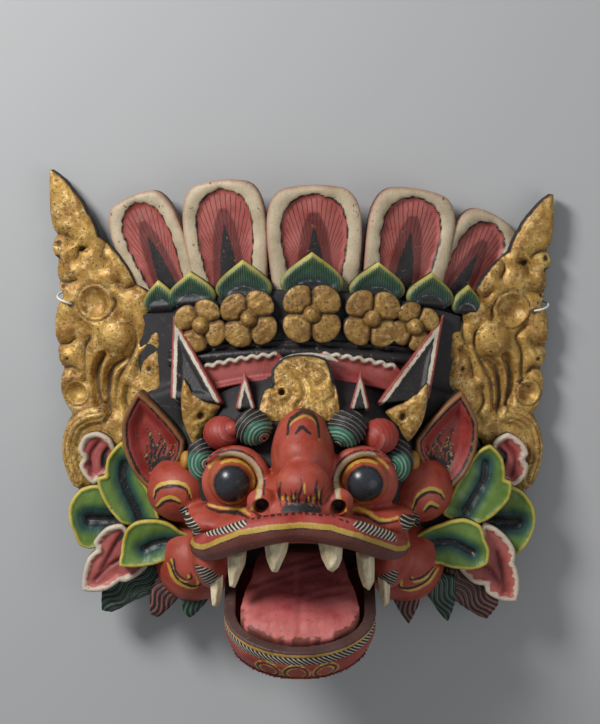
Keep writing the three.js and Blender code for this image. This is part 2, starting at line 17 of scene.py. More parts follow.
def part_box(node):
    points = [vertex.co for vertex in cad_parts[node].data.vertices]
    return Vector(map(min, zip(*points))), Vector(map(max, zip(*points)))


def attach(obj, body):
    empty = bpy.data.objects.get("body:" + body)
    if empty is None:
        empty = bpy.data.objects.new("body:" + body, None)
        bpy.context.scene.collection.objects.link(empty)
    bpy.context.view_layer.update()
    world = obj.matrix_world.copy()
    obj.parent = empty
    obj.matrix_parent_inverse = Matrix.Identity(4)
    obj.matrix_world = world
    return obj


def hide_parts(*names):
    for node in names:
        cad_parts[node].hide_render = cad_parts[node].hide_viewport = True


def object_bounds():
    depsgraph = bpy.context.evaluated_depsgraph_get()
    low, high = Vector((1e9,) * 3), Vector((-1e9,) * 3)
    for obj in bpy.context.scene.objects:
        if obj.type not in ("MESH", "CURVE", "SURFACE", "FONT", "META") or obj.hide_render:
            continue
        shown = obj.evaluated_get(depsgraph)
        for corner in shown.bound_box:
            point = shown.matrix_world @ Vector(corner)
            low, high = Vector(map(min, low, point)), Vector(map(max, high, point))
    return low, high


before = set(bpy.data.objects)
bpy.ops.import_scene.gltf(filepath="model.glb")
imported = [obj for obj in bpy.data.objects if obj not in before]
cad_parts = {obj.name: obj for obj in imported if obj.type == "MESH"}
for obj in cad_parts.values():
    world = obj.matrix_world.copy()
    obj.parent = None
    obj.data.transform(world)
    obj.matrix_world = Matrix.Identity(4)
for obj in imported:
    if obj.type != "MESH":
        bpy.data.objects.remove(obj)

CAD_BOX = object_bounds()
print("frame:", sorted(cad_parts))

# %% [markdown]
# Working frame
#
# A carver works from a centre line. Here x = 0 is the centre line of the jaw, y = 0 lies between the
# brow and the crown, and z = 0 is the table. All sizes are in millimetres. One matrix takes every
# finished piece from there into the frame, so that nothing is fitted by eye.

# %% Working frame
MM = 0.001
WING_TIP_Y = 151
jaw_low, jaw_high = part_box("lower_jaw")
middle_x = (jaw_low.x + jaw_high.x) / 2
base_y = CAD_BOX[1].y - WING_TIP_Y * MM
TO_FRAME = Matrix.Translation((middle_x, base_y, 0)) @ Matrix.Scale(MM, 4)
CROWN_FRONT = 52
CROWN_SWEEP = 0.0012
SIDES = (("left", -1), ("right", 1))


def crown_front(x):
    return CROWN_FRONT - CROWN_SWEEP * x * x


def crown_turn(x):
    return math.atan(2 * CROWN_SWEEP * x)


def pose(at, spin=0.0, lean=0.0, turn=0.0):
    """Spin in the board's own plane, lean on X, turn on Y, then move."""
    turned = Matrix.Rotation(turn, 4, "Y") @ Matrix.Rotation(lean, 4, "X") @ Matrix.Rotation(spin, 4, "Z")
    return Matrix.Translation(at) @ turned


# %% [markdown]
# Camera and light
#
# The photograph looks at the face a little from the crown's side. The mask lies on its back, so the
# camera looks down on it from the same angle. A large soft light stands at the upper left, as in the
# photograph, and the room gives a weak even fill.

# %% Camera, lights and floor
PHOTO_WIDTH = 600
FOCAL_PIXELS = 2025
CAMERA_DISTANCE = 1600
CAMERA_TILT = math.radians(7)
AIM = Vector((0, 0, 40))

camera_data = bpy.data.cameras.new("camera")
camera_data.sensor_fit = "HORIZONTAL"
camera_data.sensor_width = 36
camera_data.lens = camera_data.sensor_width * FOCAL_PIXELS / PHOTO_WIDTH
camera_data.clip_end = 20
camera = bpy.data.objects.new("camera", camera_data)
bpy.context.scene.collection.objects.link(camera)
back_off = Vector((0, math.sin(CAMERA_TILT), math.cos(CAMERA_TILT))) * CAMERA_DISTANCE
camera.location = TO_FRAME @ (AIM + back_off)
camera.rotation_euler = (-CAMERA_TILT, 0, 0)
bpy.context.scene.camera = camera
bpy.context.scene.view_settings.view_transform = "Standard"


def soft_light(name, place, aim, size, power):
    data = bpy.data.lights.new(name, "AREA")
    data.shape = "DISK"
    data.size = size
    data.energy = power
    lamp = bpy.data.objects.new(name, data)
    lamp.location = place
    lamp.rotation_euler = (Vector(aim) - Vector(place)).to_track_quat("-Z", "Y").to_euler()
    bpy.context.scene.collection.objects.link(lamp)


soft_light("key", (-0.85, 0.9, 0.95), (0, 0, 0.05), 0.5, 24)
soft_light("fill", (1.1, -0.2, 1.2), (0, 0, 0.05), 1.2, 4)
world = bpy.data.worlds.new("room")
world.use_nodes = True
world.node_tree.nodes["Background"].inputs["Color"].default_value = (0.9, 0.95, 1.0, 1)
world.node_tree.nodes["Background"].inputs["Strength"].default_value = 0.27
bpy.context.scene.world = world

bm = bmesh.new()
bmesh.ops.create_grid(bm, x_segments=1, y_segments=1, size=6)
floor_mesh = bpy.data.meshes.new("floor")
bm.to_mesh(floor_mesh)
bm.free()
floor = bpy.data.objects.new("floor", floor_mesh)
bpy.context.scene.collection.objects.link(floor)

# %% [markdown]
# Paint
#
# The mask is painted with a brush: flat grounds, then edges, lines and hatching on top. Every painted
# shape is stored on the surface as a distance in millimetres, below zero inside the shape. The shader
# cuts at zero, with a little wobble, so that an edge stays crisp at any size and still looks drawn by
# hand. Stripes use a stored coordinate in the same way.

# %% Colours, as linear values
def srgb(red, green, blue):
    linear = [((c / 255 + 0.055) / 1.055) ** 2.4 if c > 10 else c / 255 / 12.92 for c in (red, green, blue)]
    return (*linear, 1.0)


RED = srgb(158, 54, 44)
ORANGE_RED = srgb(176, 76, 52)
DUSKY = srgb(160, 80, 72)
PINK = srgb(184, 96, 88)
CREAM = srgb(192, 174, 144)
WHITE = srgb(196, 184, 164)
BLACK = srgb(34, 32, 34)
GREY = srgb(128, 128, 122)
GREEN = srgb(84, 118, 48)
BLUE_GREEN = srgb(30, 74, 68)
PALE_GREEN = srgb(138, 170, 150)
YELLOW = srgb(202, 164, 66)
WOOD = srgb(116, 86, 60)
DIRT = srgb(58, 42, 36)
DARK_SIDE = srgb(40, 38, 32)
PURPLE_BROWN = srgb(84, 58, 54)
TONGUE = srgb(194, 102, 96)


# %% Shader helpers
BRUSH_WOBBLE = 1.8
PAINT_RELIEF = 0.0006
LEAF_ROUGHNESS = 0.48
WORN_ROUGHNESS = 0.73


def plug(tree, socket, value):
    """Links a socket to another one, or sets it to a plain value."""
    if isinstance(value, bpy.types.NodeSocket):
        tree.links.new(value, socket)
    else:
        socket.default_value = value


def node(tree, kind, **inputs):
    """A new node. Its inputs are given by name, or as i0, i1 and so on."""
    made = tree.nodes.new(kind)
    for name, value in inputs.items():
        numbered = name[0] == "i" and name[1:].isdigit()
        plug(tree, made.inputs[int(name[1:]) if numbered else name], value)
    return made


def maths(tree, operation, first, second=0.0, clamp=False):
    made = node(tree, "ShaderNodeMath", i0=first, i1=second)
    made.operation = operation
    made.use_clamp = clamp
    return made.outputs[0]


def noise(tree, scale, detail=2.0, rough=0.5, stretch=None):
    where = tree.nodes.new("ShaderNodeTexCoord").outputs["Object"]
    if stretch:
        where = node(tree, "ShaderNodeMapping", Vector=where, Scale=stretch).outputs[0]
    made = node(tree, "ShaderNodeTexNoise", Vector=where, Scale=scale, Detail=detail, Roughness=rough)
    return made.outputs["Fac"]


def stored(tree, name):
    made = tree.nodes.new("ShaderNodeAttribute")
    made.attribute_name = name
    return made.outputs["Fac"]


def between(tree, value, low, high):
    return node(tree, "ShaderNodeMapRange", Value=value, **{"From Min": low, "From Max": high}).outputs[0]


def mixed(tree, share, under, over):
    made = tree.nodes.new("ShaderNodeMix")
    made.data_type = "RGBA"
    for number, value in ((0, share), (6, under), (7, over)):
        plug(tree, made.inputs[number], value)
    return made.outputs[2]


def fresh(name):
    made = bpy.data.materials.new(name)
    made.use_nodes = True
    return made, made.node_tree, made.node_tree.nodes["Principled BSDF"]


def coat(tree, shader, colour, roughness, height, strength, distance=PAINT_RELIEF):
    """Gives a shader its colour, its roughness and a bump from a height."""
    relief = node(tree, "ShaderNodeBump", Height=height, Strength=strength, Distance=distance)
    plug(tree, shader.inputs["Base Color"], colour)
    plug(tree, shader.inputs["Roughness"], roughness)
    plug(tree, shader.inputs["Normal"], relief.outputs[0])


def painted(name, ground, layers, roughness=0.5, chips=0.5, bump=0.55):
    """A coat of paint. A layer is a colour, a mask, which is a stored distance, and its softness. A layer
    of stripes goes on with a stored coordinate, the period and the share that is painted."""
    made, tree, shader = fresh(name)
    hand = maths(tree, "SUBTRACT", noise(tree, 260, 2), 0.5)
    cloudy = noise(tree, 55, 3)
    fine = noise(tree, 900, 2)
    drift = maths(tree, "MULTIPLY", hand, BRUSH_WOBBLE)
    colour = ground
    for layer_colour, mask, softness, *stripes in layers:
        share = 1.0
        if mask:
            depth = maths(tree, "ADD", stored(tree, mask), drift)
            share = between(tree, depth, softness, -softness)
        if stripes:
            coordinate, period, part = stripes
            along = maths(tree, "ADD", stored(tree, coordinate),
                          maths(tree, "MULTIPLY", hand, 0.25 * period))
            wave = maths(tree, "PINGPONG", maths(tree, "DIVIDE", along, period), 0.5)
            line = between(tree, wave, part / 2 + 0.05, part / 2 - 0.05)
            share = maths(tree, "MULTIPLY", line, share)
        colour = mixed(tree, share, colour, layer_colour)
    shade = between(tree, cloudy, 0.3, 0.75)
    darker = node(tree, "ShaderNodeHueSaturation", Color=colour, Value=0.66, Saturation=1.05).outputs[0]
    lighter = node(tree, "ShaderNodeHueSaturation", Color=colour, Value=1.12, Saturation=0.92).outputs[0]
    colour = mixed(tree, shade, darker, lighter)
    dust = maths(tree, "MULTIPLY", between(tree, fine, 0.6, 0.75), 0.5)
    colour = mixed(tree, dust, colour, WOOD)
    grime = maths(tree, "MULTIPLY", between(tree, noise(tree, 110, 6, 0.7), 0.54, 0.74), 0.4)
    colour = mixed(tree, grime, colour, DIRT)
    if chips:
        spots = maths(tree, "SUBTRACT", noise(tree, 190, 5, 0.65), 0.69 - 0.07 * chips)
        colour = mixed(tree, between(tree, spots, 0.0, 0.02), colour, WOOD)
    coat(tree, shader, colour, roughness, noise(tree, 420, 3, 0.6, (1, 0.35, 1)), bump)
    shader.inputs["Specular IOR Level"].default_value = 0.35
    return made


def gilded(name, deep, light, pale, shine):
    """Gold leaf on a dark ground: uneven in hue, rubbed through in specks, bare on the board's edge, and
    dark brown along stored grooves as dirt and painted shade.
    """
    made, tree, shader = fresh(name)
    gold = mixed(tree, between(tree, noise(tree, 60, 4, 0.6), 0.36, 0.66), deep, light)
    thin_leaf = between(tree, noise(tree, 170, 5, 0.7), 0.5, 0.7)
    gold = mixed(tree, maths(tree, "MULTIPLY", thin_leaf, 0.85), gold, pale)
    crowd = between(tree, noise(tree, 28, 2), 0.35, 0.7)
    specks = maths(tree, "ADD", noise(tree, 430, 4, 0.7), maths(tree, "MULTIPLY", crowd, 0.05))
    worn = maths(tree, "MULTIPLY", between(tree, specks, 0.605, 0.635), 0.85)
    rubbed = maths(tree, "MULTIPLY", between(tree, noise(tree, 95, 5, 0.75), 0.62, 0.69), 0.7)
    hand = maths(tree, "SUBTRACT", noise(tree, 300, 2), 0.5)
    bare = between(tree, maths(tree, "ADD", stored(tree, "bare"), hand), 0.3, -0.3)
    # Stored grooves and holes turn dark brown: dirt, and painted shade in the recesses.
    groove = between(tree, maths(tree, "ADD", stored(tree, "groove"), hand), 0.6, -0.6)
    lost_and_shaded = maths(tree, "MAXIMUM", maths(tree, "MAXIMUM", worn, rubbed),
                 maths(tree, "MULTIPLY", groove, 0.85))
    lost_and_shaded = maths(tree, "MAXIMUM", lost_and_shaded, bare, clamp=True)
    dark = mixed(tree, bare, srgb(50, 34, 22), BLACK)
    rougher = maths(tree, "MULTIPLY", lost_and_shaded, WORN_ROUGHNESS - LEAF_ROUGHNESS)
    roughness = maths(tree, "ADD", rougher, LEAF_ROUGHNESS)
    coat(tree, shader, mixed(tree, lost_and_shaded, gold, dark), roughness, noise(tree, 480, 5, 0.65), 0.7)
    leaf_left = maths(tree, "SUBTRACT", 1.0, lost_and_shaded)
    tree.links.new(maths(tree, "MULTIPLY", leaf_left, shine), shader.inputs["Metallic"])
    return made


floor_material, _, floor_shader = fresh("plain_floor")
floor_shader.inputs["Base Color"].default_value = (0.40, 0.40, 0.40, 1)
floor_shader.inputs["Roughness"].default_value = 0.9
floor_mesh.materials.append(floor_material)

# %% [markdown]
# Carving
#
# A carver saws an outline from a board and then lowers the surface inside it. The helpers below do the
# same: an outline is filled and extruded to a board, the board is turned into an even skin of small
# faces, and the front is raised or lowered by the distance from the edge.

# %% Outlines
CURVE_STEPS = 6


def counter_clockwise(points):
    points = np.asarray(points, float)
    x, y = points.T
    area = np.dot(x, np.roll(y, -1)) - np.dot(y, np.roll(x, -1))
    return points if area > 0 else points[::-1]


def shares(steps):
    return (np.arange(steps) / steps)[:, None]


def lobed(points, swell=0.1):
    """A closed outline: between two points the edge swells outwards by a share of its length."""
    points = counter_clockwise(points)
    t = shares(CURVE_STEPS)
    made = []
    for here, there in zip(points, np.roll(points, -1, 0)):
        dx, dy = there - here
        middle = (here + there) / 2 + swell * np.array((dy, -dx))
        made.append((1 - t) ** 2 * here + 2 * t * (1 - t) * middle + t * t * there)
    return np.concatenate(made)


def cubic(start, first, second, end, steps=14):
    t = shares(steps)
    start, first, second, end = (np.asarray(p, float) for p in (start, first, second, end))
    return ((1 - t) ** 3 * start + 3 * t * (1 - t) ** 2 * first
            + 3 * t * t * (1 - t) * second + t ** 3 * end)


def petal_outline(width, height, foot=0.85, flat=0.225, corner=(1.25, 0.98)):
    """A petal with a round head. Foot and flat are the shares of its width at the bottom and at the top."""
    half, shoulder = width / 2, flat * width
    waist = (foot + 1) / 2 * half
    out, up = corner[0] * half, corner[1] * height
    left = cubic((-foot * half, 0), (-waist, 0.4 * height), (-out, up), (-shoulder, height))
    top = cubic((-shoulder, height), (-0.5 * shoulder, 1.02 * height), (0.5 * shoulder, 1.02 * height),
                (shoulder, height), 4)
    right = cubic((shoulder, height), (out, up), (waist, 0.4 * height), (foot * half, 0))
    return counter_clockwise(np.concatenate((left, top, right, [(foot * half, 0)])))


def pointed_outline(width, height):
    half = width / 2
    left = cubic((-0.55 * half, 0), (-1.35 * half, 0.35 * height), (-0.35 * half, 0.75 * height),
                 (0, height))
    right = cubic((0, height), (0.35 * half, 0.75 * height), (1.35 * half, 0.35 * height), (0.55 * half, 0))
    return counter_clockwise(np.concatenate((left, right, [(0.55 * half, 0)])))


# %% Distances
def line_distance(xy, line, closed=False):
    """Distance to a line of points, and how far along it the nearest point is."""
    line = np.asarray(line, float)
    ends = np.roll(line, -1, 0) if closed else line[1:]
    starts = line if closed else line[:-1]
    best = np.full(len(xy), 1e9)
    along = np.zeros(len(xy))
    run = 0.0
    for start, end in zip(starts, ends):
        step = end - start
        length = math.hypot(*step) or 1e-9
        t = np.clip((xy - start) @ step / length ** 2, 0, 1)
        away = np.hypot(*(xy - start - t[:, None] * step).T)
        nearer = away < best
        best[nearer] = away[nearer]
        along[nearer] = run + t[nearer] * length
        run += length
    return best, along


def depth_inside(xy, outline):
    """Distance from the outline, positive inside it."""
    away, _ = line_distance(xy, outline, closed=True)
    inside = np.zeros(len(xy), bool)
    x, y = xy.T
    for (x0, y0), (x1, y1) in zip(outline, np.roll(outline, -1, 0)):
        if y0 == y1:
            continue
        crosses = (y0 > y) != (y1 > y)
        inside ^= crosses & (x < (x1 - x0) * (y - y0) / (y1 - y0) + x0)
    return np.where(inside, away, -away)


def smooth_step(value, low, high):
    t = np.clip((value - low) / (high - low), 0, 1)
    return t * t * (3 - 2 * t)


def ridge(value, middle, width):
    """1 at the middle value, and almost 0 two widths away."""
    return np.exp(-((value - middle) / width) ** 2)


def cut(line, width):
    """1 inside a stroke, and almost 0 two widths outside it."""
    return ridge(np.maximum(line, 0), 0, width)


def dome(share):
    """The height of half a ball at a share of its radius."""
    return np.sqrt(np.clip(1 - share ** 2, 0, 1))


def away_from(xy, centre):
    return np.hypot(*(xy - centre).T)


# %% Boards and skins
def board(outline, thickness):
    bm = bmesh.new()
    face = bm.faces.new([bm.verts.new((x, y, 0)) for x, y in outline])
    if face.normal.z > 0:
        face.normal_flip()
    raised = bmesh.ops.extrude_face_region(bm, geom=[face])["geom"]
    tops = [v for v in raised if isinstance(v, bmesh.types.BMVert)]
    bmesh.ops.translate(bm, verts=tops, vec=(0, 0, thickness))
    bmesh.ops.recalc_face_normals(bm, faces=bm.faces)
    return bm


def linked(bm, name):
    """Puts what a bmesh holds into a new object of the scene, and frees the bmesh."""
    mesh = bpy.data.meshes.new(name)
    bm.to_mesh(mesh)
    bm.free()
    made = bpy.data.objects.new(name, mesh)
    bpy.context.scene.collection.objects.link(made)
    return made


VOXEL_SHARE = 1.28
FAR = 9.0  # a stored distance well outside any painted shape
AS_MADE = Matrix.Identity(4)


def voxel_step(block, voxel):
    """One share coarsens every skin alike and keeps the whole under a million triangles."""
    step = block.modifiers.new("voxels", "REMESH")
    step.mode = "VOXEL"
    step.voxel_size = VOXEL_SHARE * voxel


def skin(bm, voxel, soften=2, cutter=None):
    """An even skin of small faces over everything in bm, less what is in cutter, with softened edges."""
    block = linked(bm, "block")
    voxel_step(block, voxel)
    knife = None
    if cutter:
        knife = linked(cutter, "knife")
        voxel_step(knife, voxel)
        cut = block.modifiers.new("cut", "BOOLEAN")
        cut.operation = "DIFFERENCE"
        cut.solver = "MANIFOLD"
        cut.object = knife
        voxel_step(block, voxel)
    if soften:
        soft = block.modifiers.new("soft", "SMOOTH")
        soft.factor = 0.5
        soft.iterations = soften
    made = bpy.data.meshes.new_from_object(block.evaluated_get(bpy.context.evaluated_depsgraph_get()))
    for used in filter(None, (block, knife)):
        mesh = used.data
        bpy.data.objects.remove(used)
        bpy.data.meshes.remove(mesh)
    return made


def places(mesh):
    co = np.empty(len(mesh.vertices) * 3)
    mesh.vertices.foreach_get("co", co)
    return co.reshape(-1, 3)


def move(mesh, co):
    mesh.vertices.foreach_set("co", co.ravel())
    mesh.update()


def store(mesh, **values):
    for name, value in values.items():
        kept = mesh.attributes.new(name, "FLOAT", "POINT")
        kept.data.foreach_set("value", np.asarray(value, np.float32))


def finish(name, mesh, where, material, stands_for="mask"):
    mesh.transform(TO_FRAME @ where)
    move(mesh, np.clip(places(mesh), CAD_BOX[0], CAD_BOX[1]))
    mesh.materials.clear()
    mesh.materials.append(material)
    mesh.polygons.foreach_set("use_smooth", np.ones(len(mesh.polygons), bool))
    mesh.name = name
    made = bpy.data.objects.new(name, mesh)
    bpy.context.scene.collection.objects.link(made)
    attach(made, "root")
    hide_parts(stands_for)
    print(f"{name}: {len(mesh.polygons)} faces")


# %% [markdown]
# Hanging string
#
# A thin white string leaves the hole in each wing, passes over the wing's outer edge and lies behind the
# crown on the table. It is one limp cord with a fixed length, so it is a curve with a round bevel that
# runs along the same points as its solid.

# %% Hanging string
def smooth_line(points):
    """A smooth line through a few points."""
    points = np.asarray(points, float)
    ends = np.vstack((2 * points[0] - points[1], points, 2 * points[-1] - points[-2]))
    t = shares(CURVE_STEPS)
    made = [0.5 * (2 * b + (c - a) * t + (2 * a - 5 * b + 4 * c - d) * t ** 2
                   + (3 * b - a - 3 * c + d) * t ** 3)
            for a, b, c, d in zip(ends, ends[1:], ends[2:], ends[3:])]
    return np.concatenate(made + [points[-1:]])


CORD_RADIUS = 0.8
CORD_LIES = CORD_RADIUS + 0.2
CORD_ROUTE = [
    (-180, 44, 14), (-181.4, 44.1, 19), (-183, 44.8, 23.4), (-186.8, 46.4, 25.6), (-191, 48, 23.4),
    (-193.4, 49.4, 18), (-193.8, 50.6, 12), (-192.2, 52, 7), (-187.6, 54, 3), (-180, 57, 1),
    (-168, 61, CORD_LIES), (-150, 66, CORD_LIES), (-120, 71, CORD_LIES), (-90, 73, CORD_LIES),
    (-60, 71, CORD_LIES), (-30, 67, CORD_LIES), (0, 65, CORD_LIES), (30, 66, CORD_LIES),
    (60, 69, CORD_LIES), (90, 71, CORD_LIES), (120, 68, CORD_LIES), (150, 60, CORD_LIES),
    (172, 52, CORD_LIES), (185, 47.5, 1), (192.4, 45.6, 3), (196.8, 44.6, 7), (198.6, 43.6, 12),
    (198.2, 42.6, 18), (195.6, 41.4, 23.4), (191.4, 40.2, 25.6), (187.6, 39.2, 23.4), (186.2, 38.6, 19),
    (184.8, 38.5, 14),
]


def round_curve(points, radii, sides):
    """A curve of one open spline with a round section; radii is one radius or one for each point."""
    made = bpy.data.curves.new("line", "CURVE")
    made.dimensions = "3D"
    made.bevel_depth = 1.0
    made.bevel_resolution = sides
    made.use_fill_caps = True
    spline = made.splines.new("POLY")
    spline.points.add(len(points) - 1)
    for point, place, radius in zip(spline.points, points, np.broadcast_to(radii, len(points))):
        point.co = (*place, 1)
        point.radius = radius
    return made


cord_line = smooth_line(CORD_ROUTE)
cord_curve = round_curve([TO_FRAME @ Vector(p) for p in cord_line], 1.0, 3)
cord_curve.bevel_depth = CORD_RADIUS * MM
cord = bpy.data.objects.new("hanging_string", cord_curve)
bpy.context.scene.collection.objects.link(cord)
cord_material, cord_tree, cord_shader = fresh("white_string")
fibres = noise(cord_tree, 2500, 2)
string_colour = mixed(cord_tree, fibres, srgb(196, 190, 176), srgb(238, 234, 224))
coat(cord_tree, cord_shader, string_colour, 0.85, fibres, 0.6, 0.0003)
cord_curve.materials.append(cord_material)
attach(cord, "root")
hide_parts("hanging_cord")


# %% [markdown]
# Strokes and clay
#
# Brush strokes, grooves and rolls all follow a smooth line through a few points. Round forms start as
# balls and rods, which are pressed together like clay before they get their skin. Slow waves in fixed
# random directions keep every surface from looking machined.

# %% Strokes, uneven surfaces and clay
def stroke(xy, points, half_width, taper=0.0):
    """Signed distance to a brush stroke: half_width wide, thinner by a share towards both ends."""
    line = smooth_line(points)
    away, along = line_distance(xy, line)
    length = np.hypot(*np.diff(line, axis=0).T).sum()
    t = np.clip(along / length, 0, 1)
    return away - half_width * (1 - taper * (2 * t - 1) ** 2)


def strokes(xy, lines, half_width, taper=0.0):
    return np.minimum.reduce([stroke(xy, line, half_width, taper) for line in lines])


def uneven(co, size, amount, seed=1):
    """Slow hand-made unevenness: a few waves in fixed random directions."""
    chance = np.random.default_rng(seed)
    total = np.zeros(len(co))
    for octave in range(6):
        way = chance.normal(size=co.shape[1])
        way *= (1 + 0.5 * octave) * 2 * math.pi / size / np.linalg.norm(way)
        total += np.sin(co @ way + chance.uniform(0, 2 * math.pi)) / (1 + 0.4 * octave)
    return amount * total / 2.5


def carve(outline, thickness, voxel, relief=None, soften=2):
    """A board whose front is raised or lowered by relief(xy, depth). Returns mesh, xy, depth and z."""
    mesh = skin(board(outline, thickness), voxel, soften)
    co = places(mesh)
    xy = co[:, :2].copy()
    z = co[:, 2].copy()
    depth = depth_inside(xy, outline)
    if relief:
        co[:, 2] += smooth_step(z, 0.3 * thickness, 0.9 * thickness) * relief(xy, depth)
        move(mesh, co)
    return mesh, xy, depth, z


def add_ball(bm, centre, radii, segments):
    where = Matrix.Translation(centre) @ Matrix.Diagonal((*radii, 1))
    bmesh.ops.create_uvsphere(bm, u_segments=segments, v_segments=segments // 2, radius=1, matrix=where)


def add_rod(bm, points, radii, flat=1.0):
    """A round rod through the points; flat squeezes it in z."""
    points = np.asarray(points, float)
    line = smooth_line(points)
    radii = np.broadcast_to(radii, len(points))
    along = np.linspace(0, len(points) - 1, len(line))
    made = round_curve(line, np.interp(along, np.arange(len(points)), radii), 5)
    carrier = bpy.data.objects.new("rod", made)
    bpy.context.scene.collection.objects.link(carrier)
    mesh = bpy.data.meshes.new_from_object(carrier.evaluated_get(bpy.context.evaluated_depsgraph_get()))
    if flat != 1.0:
        middle = points[:, 2].mean()
        squeeze = Matrix.Translation((0, 0, middle)) @ Matrix.Diagonal((1, 1, flat, 1))
        mesh.transform(squeeze @ Matrix.Translation((0, 0, -middle)))
    bm.from_mesh(mesh)
    bpy.data.objects.remove(carrier)
    bpy.data.curves.remove(made)
    bpy.data.meshes.remove(mesh)


def add_board(bm, outline, thickness, where):
    made = board(outline, thickness)
    bmesh.ops.transform(made, matrix=where, verts=made.verts)
    block = bpy.data.meshes.new("board")
    made.to_mesh(block)
    made.free()
    bm.from_mesh(block)
    bpy.data.meshes.remove(block)


# %% [markdown]
# Crown petals
#
# Five broad petals stand in a fan. Each is a board with a raised cream border and a lowered red field.
# On the field lie a brown plume and a black wedge, and fine black lines run out from the petal's foot.
# The border and the field follow the distance from two outlines, and the lines follow the angle.

# %% Crown petals
PETAL_THICKNESS = 13
PETAL_RIM = 6.8
PETAL_DISH = 3
PETAL_SET_BACK = 10
PETAL_TUCK = 12
PLUME_HALF = [(0.2, 0), (0.16, 0.45), (0.12, 0.64), (0.05, 0.77)]
WEDGE_HALF = [(0.12, 0), (0.08, 0.38), (0.045, 0.5), (0.004, 0.64)]
PETALS = [
    dict(x=-97, y=58, width=59, height=78, spin=0.4),
    dict(x=-53, y=62, width=68, height=80, spin=0.09),
    dict(x=12, y=62, width=77, height=76, spin=0.02),
    dict(x=77, y=58, width=72, height=78, spin=-0.16),
    dict(x=112, y=47, width=60, height=77, spin=-0.52),
]
petal_paint = painted("petal_paint", DUSKY, [
    (srgb(172, 84, 76), "glow", 8.0),
    (srgb(112, 48, 44), "plume", 0.9),
    (srgb(50, 24, 26), "field", 0.6, "ray", 3.6, 0.14),
    (BLACK, "wedge", 0.5),
    (CREAM, "border", 0.3),
    (srgb(168, 112, 96), "outer", 2.0),
    (BLACK, "inner_line", 0.35),
    (srgb(70, 42, 40), "side", 0.7),
], chips=0.6)


def petal_piece(number, x, y, width, height, spin):
    full = height + PETAL_TUCK
    outline = petal_outline(width, full)
    inner = petal_outline(width - 2 * PETAL_RIM, full - PETAL_RIM, 0.5, 0.1, (1.2, 0.93))

    def field_depth(xy):
        wave = 0.6 * np.sin(0.5 * xy[:, 0] + number) * np.sin(0.45 * xy[:, 1])
        return depth_inside(xy, inner) + wave

    def relief(xy, depth):
        inside = field_depth(xy)
        share = np.clip(depth / np.maximum(depth - inside, 1), 0, 1)
        border = 1.6 * np.sin(np.pi * share) * (inside < 0)
        swell = 1.2 * ridge(xy[:, 0], 0, 0.22 * width) * smooth_step(inside, 0, 14)
        return border - 1.6 - PETAL_DISH * smooth_step(inside, -1, 3) + swell

    mesh, xy, depth, z = carve(outline, PETAL_THICKNESS, 1.1, relief)
    inside = field_depth(xy)
    foot = np.array((0, 0.1 * full))
    away = away_from(xy, foot)
    angle = np.arctan2(xy[:, 0] - foot[0], xy[:, 1] - foot[1])

    def painted_inside(half_line):
        left = [(-across * width, up * full) for across, up in half_line]
        return -depth_inside(xy, lobed(left + [(-x, y) for x, y in left[::-1]], 0.03))

    store(mesh,
          field=3 - inside,
          ray=60 * angle + 0.02 * away,
          glow=0.6 * (depth - PETAL_RIM - 10),
          plume=painted_inside(PLUME_HALF),
          wedge=painted_inside(WEDGE_HALF),
          border=inside,
          outer=depth - 0.9,
          inner_line=np.abs(inside) - 0.7,
          side=np.maximum(z - PETAL_THICKNESS + 4, depth - 0.4))
    at = (x, y - PETAL_TUCK, crown_front(x) - PETAL_SET_BACK - PETAL_THICKNESS)
    finish(f"petal_{number}", mesh, pose(at, spin, turn=crown_turn(x)), petal_paint)


for petal_number, row in enumerate(PETALS, 1):
    petal_piece(petal_number, **row)

# %% [markdown]
# Sepals
#
# Seven short green sepals cover the feet of the petals. Each comes to a point, has a yellow edge, and
# turns from green to blue-green towards its foot, with hatching across it.

# %% Sepals
SEPAL_THICKNESS = 10
SEPALS = [
    dict(x=-108, y=40, width=26, height=25),
    dict(x=-83, y=44, width=37, height=28),
    dict(x=-43, y=49, width=42, height=33),
    dict(x=9, y=53, width=47, height=35),
    dict(x=59, y=49, width=42, height=31),
    dict(x=100, y=43, width=37, height=28),
    dict(x=129, y=37, width=24, height=24),
]
sepal_paint = painted("sepal_paint", srgb(184, 172, 80), [
    (srgb(70, 104, 50), "green", 1.2),
    (srgb(28, 66, 60), "blue", 4.5),
    (srgb(22, 36, 32), "green", 0.8, "hatch", 2.1, 0.36),
    (BLACK, "core", 2.0),
    # A thin grey painted highlight runs inside the edge of the black core.
    (srgb(104, 108, 106), "vein", 0.2),
    (srgb(40, 40, 36), "side", 0.8),
], chips=0.3)


def sepal_piece(number, x, y, width, height):
    broad = 1.25 * width
    outline = pointed_outline(broad, height)

    def relief(xy, depth):
        return -1.6 + 1.9 * smooth_step(depth, 0, 4) - 1.4 * smooth_step(depth, 4, 9)

    mesh, xy, depth, z = carve(outline, SEPAL_THICKNESS, 0.9, relief)
    across, up = xy[:, 0] / (broad / 2), xy[:, 1] / height
    foot = np.hypot(across * 0.9, up * 1.3)
    store(mesh,
          green=2.6 - depth,
          hatch=xy[:, 0] * (1 + 0.25 * up),
          blue=(foot - 0.86) * 14,
          core=(foot - 0.5) * 12,
          # The thin grey painted highlight lies just inside the black core's edge.
          vein=np.abs(foot - 0.47) * 12 - 0.15,
          side=z - SEPAL_THICKNESS + 3)
    spin = -0.1 * x / 128
    finish(f"sepal_{number}", mesh, pose((x, y, crown_front(x) - 7), spin, turn=crown_turn(x)), sepal_paint)


for sepal_number, row in enumerate(SEPALS, 1):
    sepal_piece(sepal_number, **row)

# %% [markdown]
# Gilded rosettes
#
# Five four-petalled flowers lie on the black band. The petals point to the corners and nearly touch, so
# narrow dark slits show between them, and a round button stands in the middle. The outline is a formula
# in the angle, and the slits follow the flower's two axes.

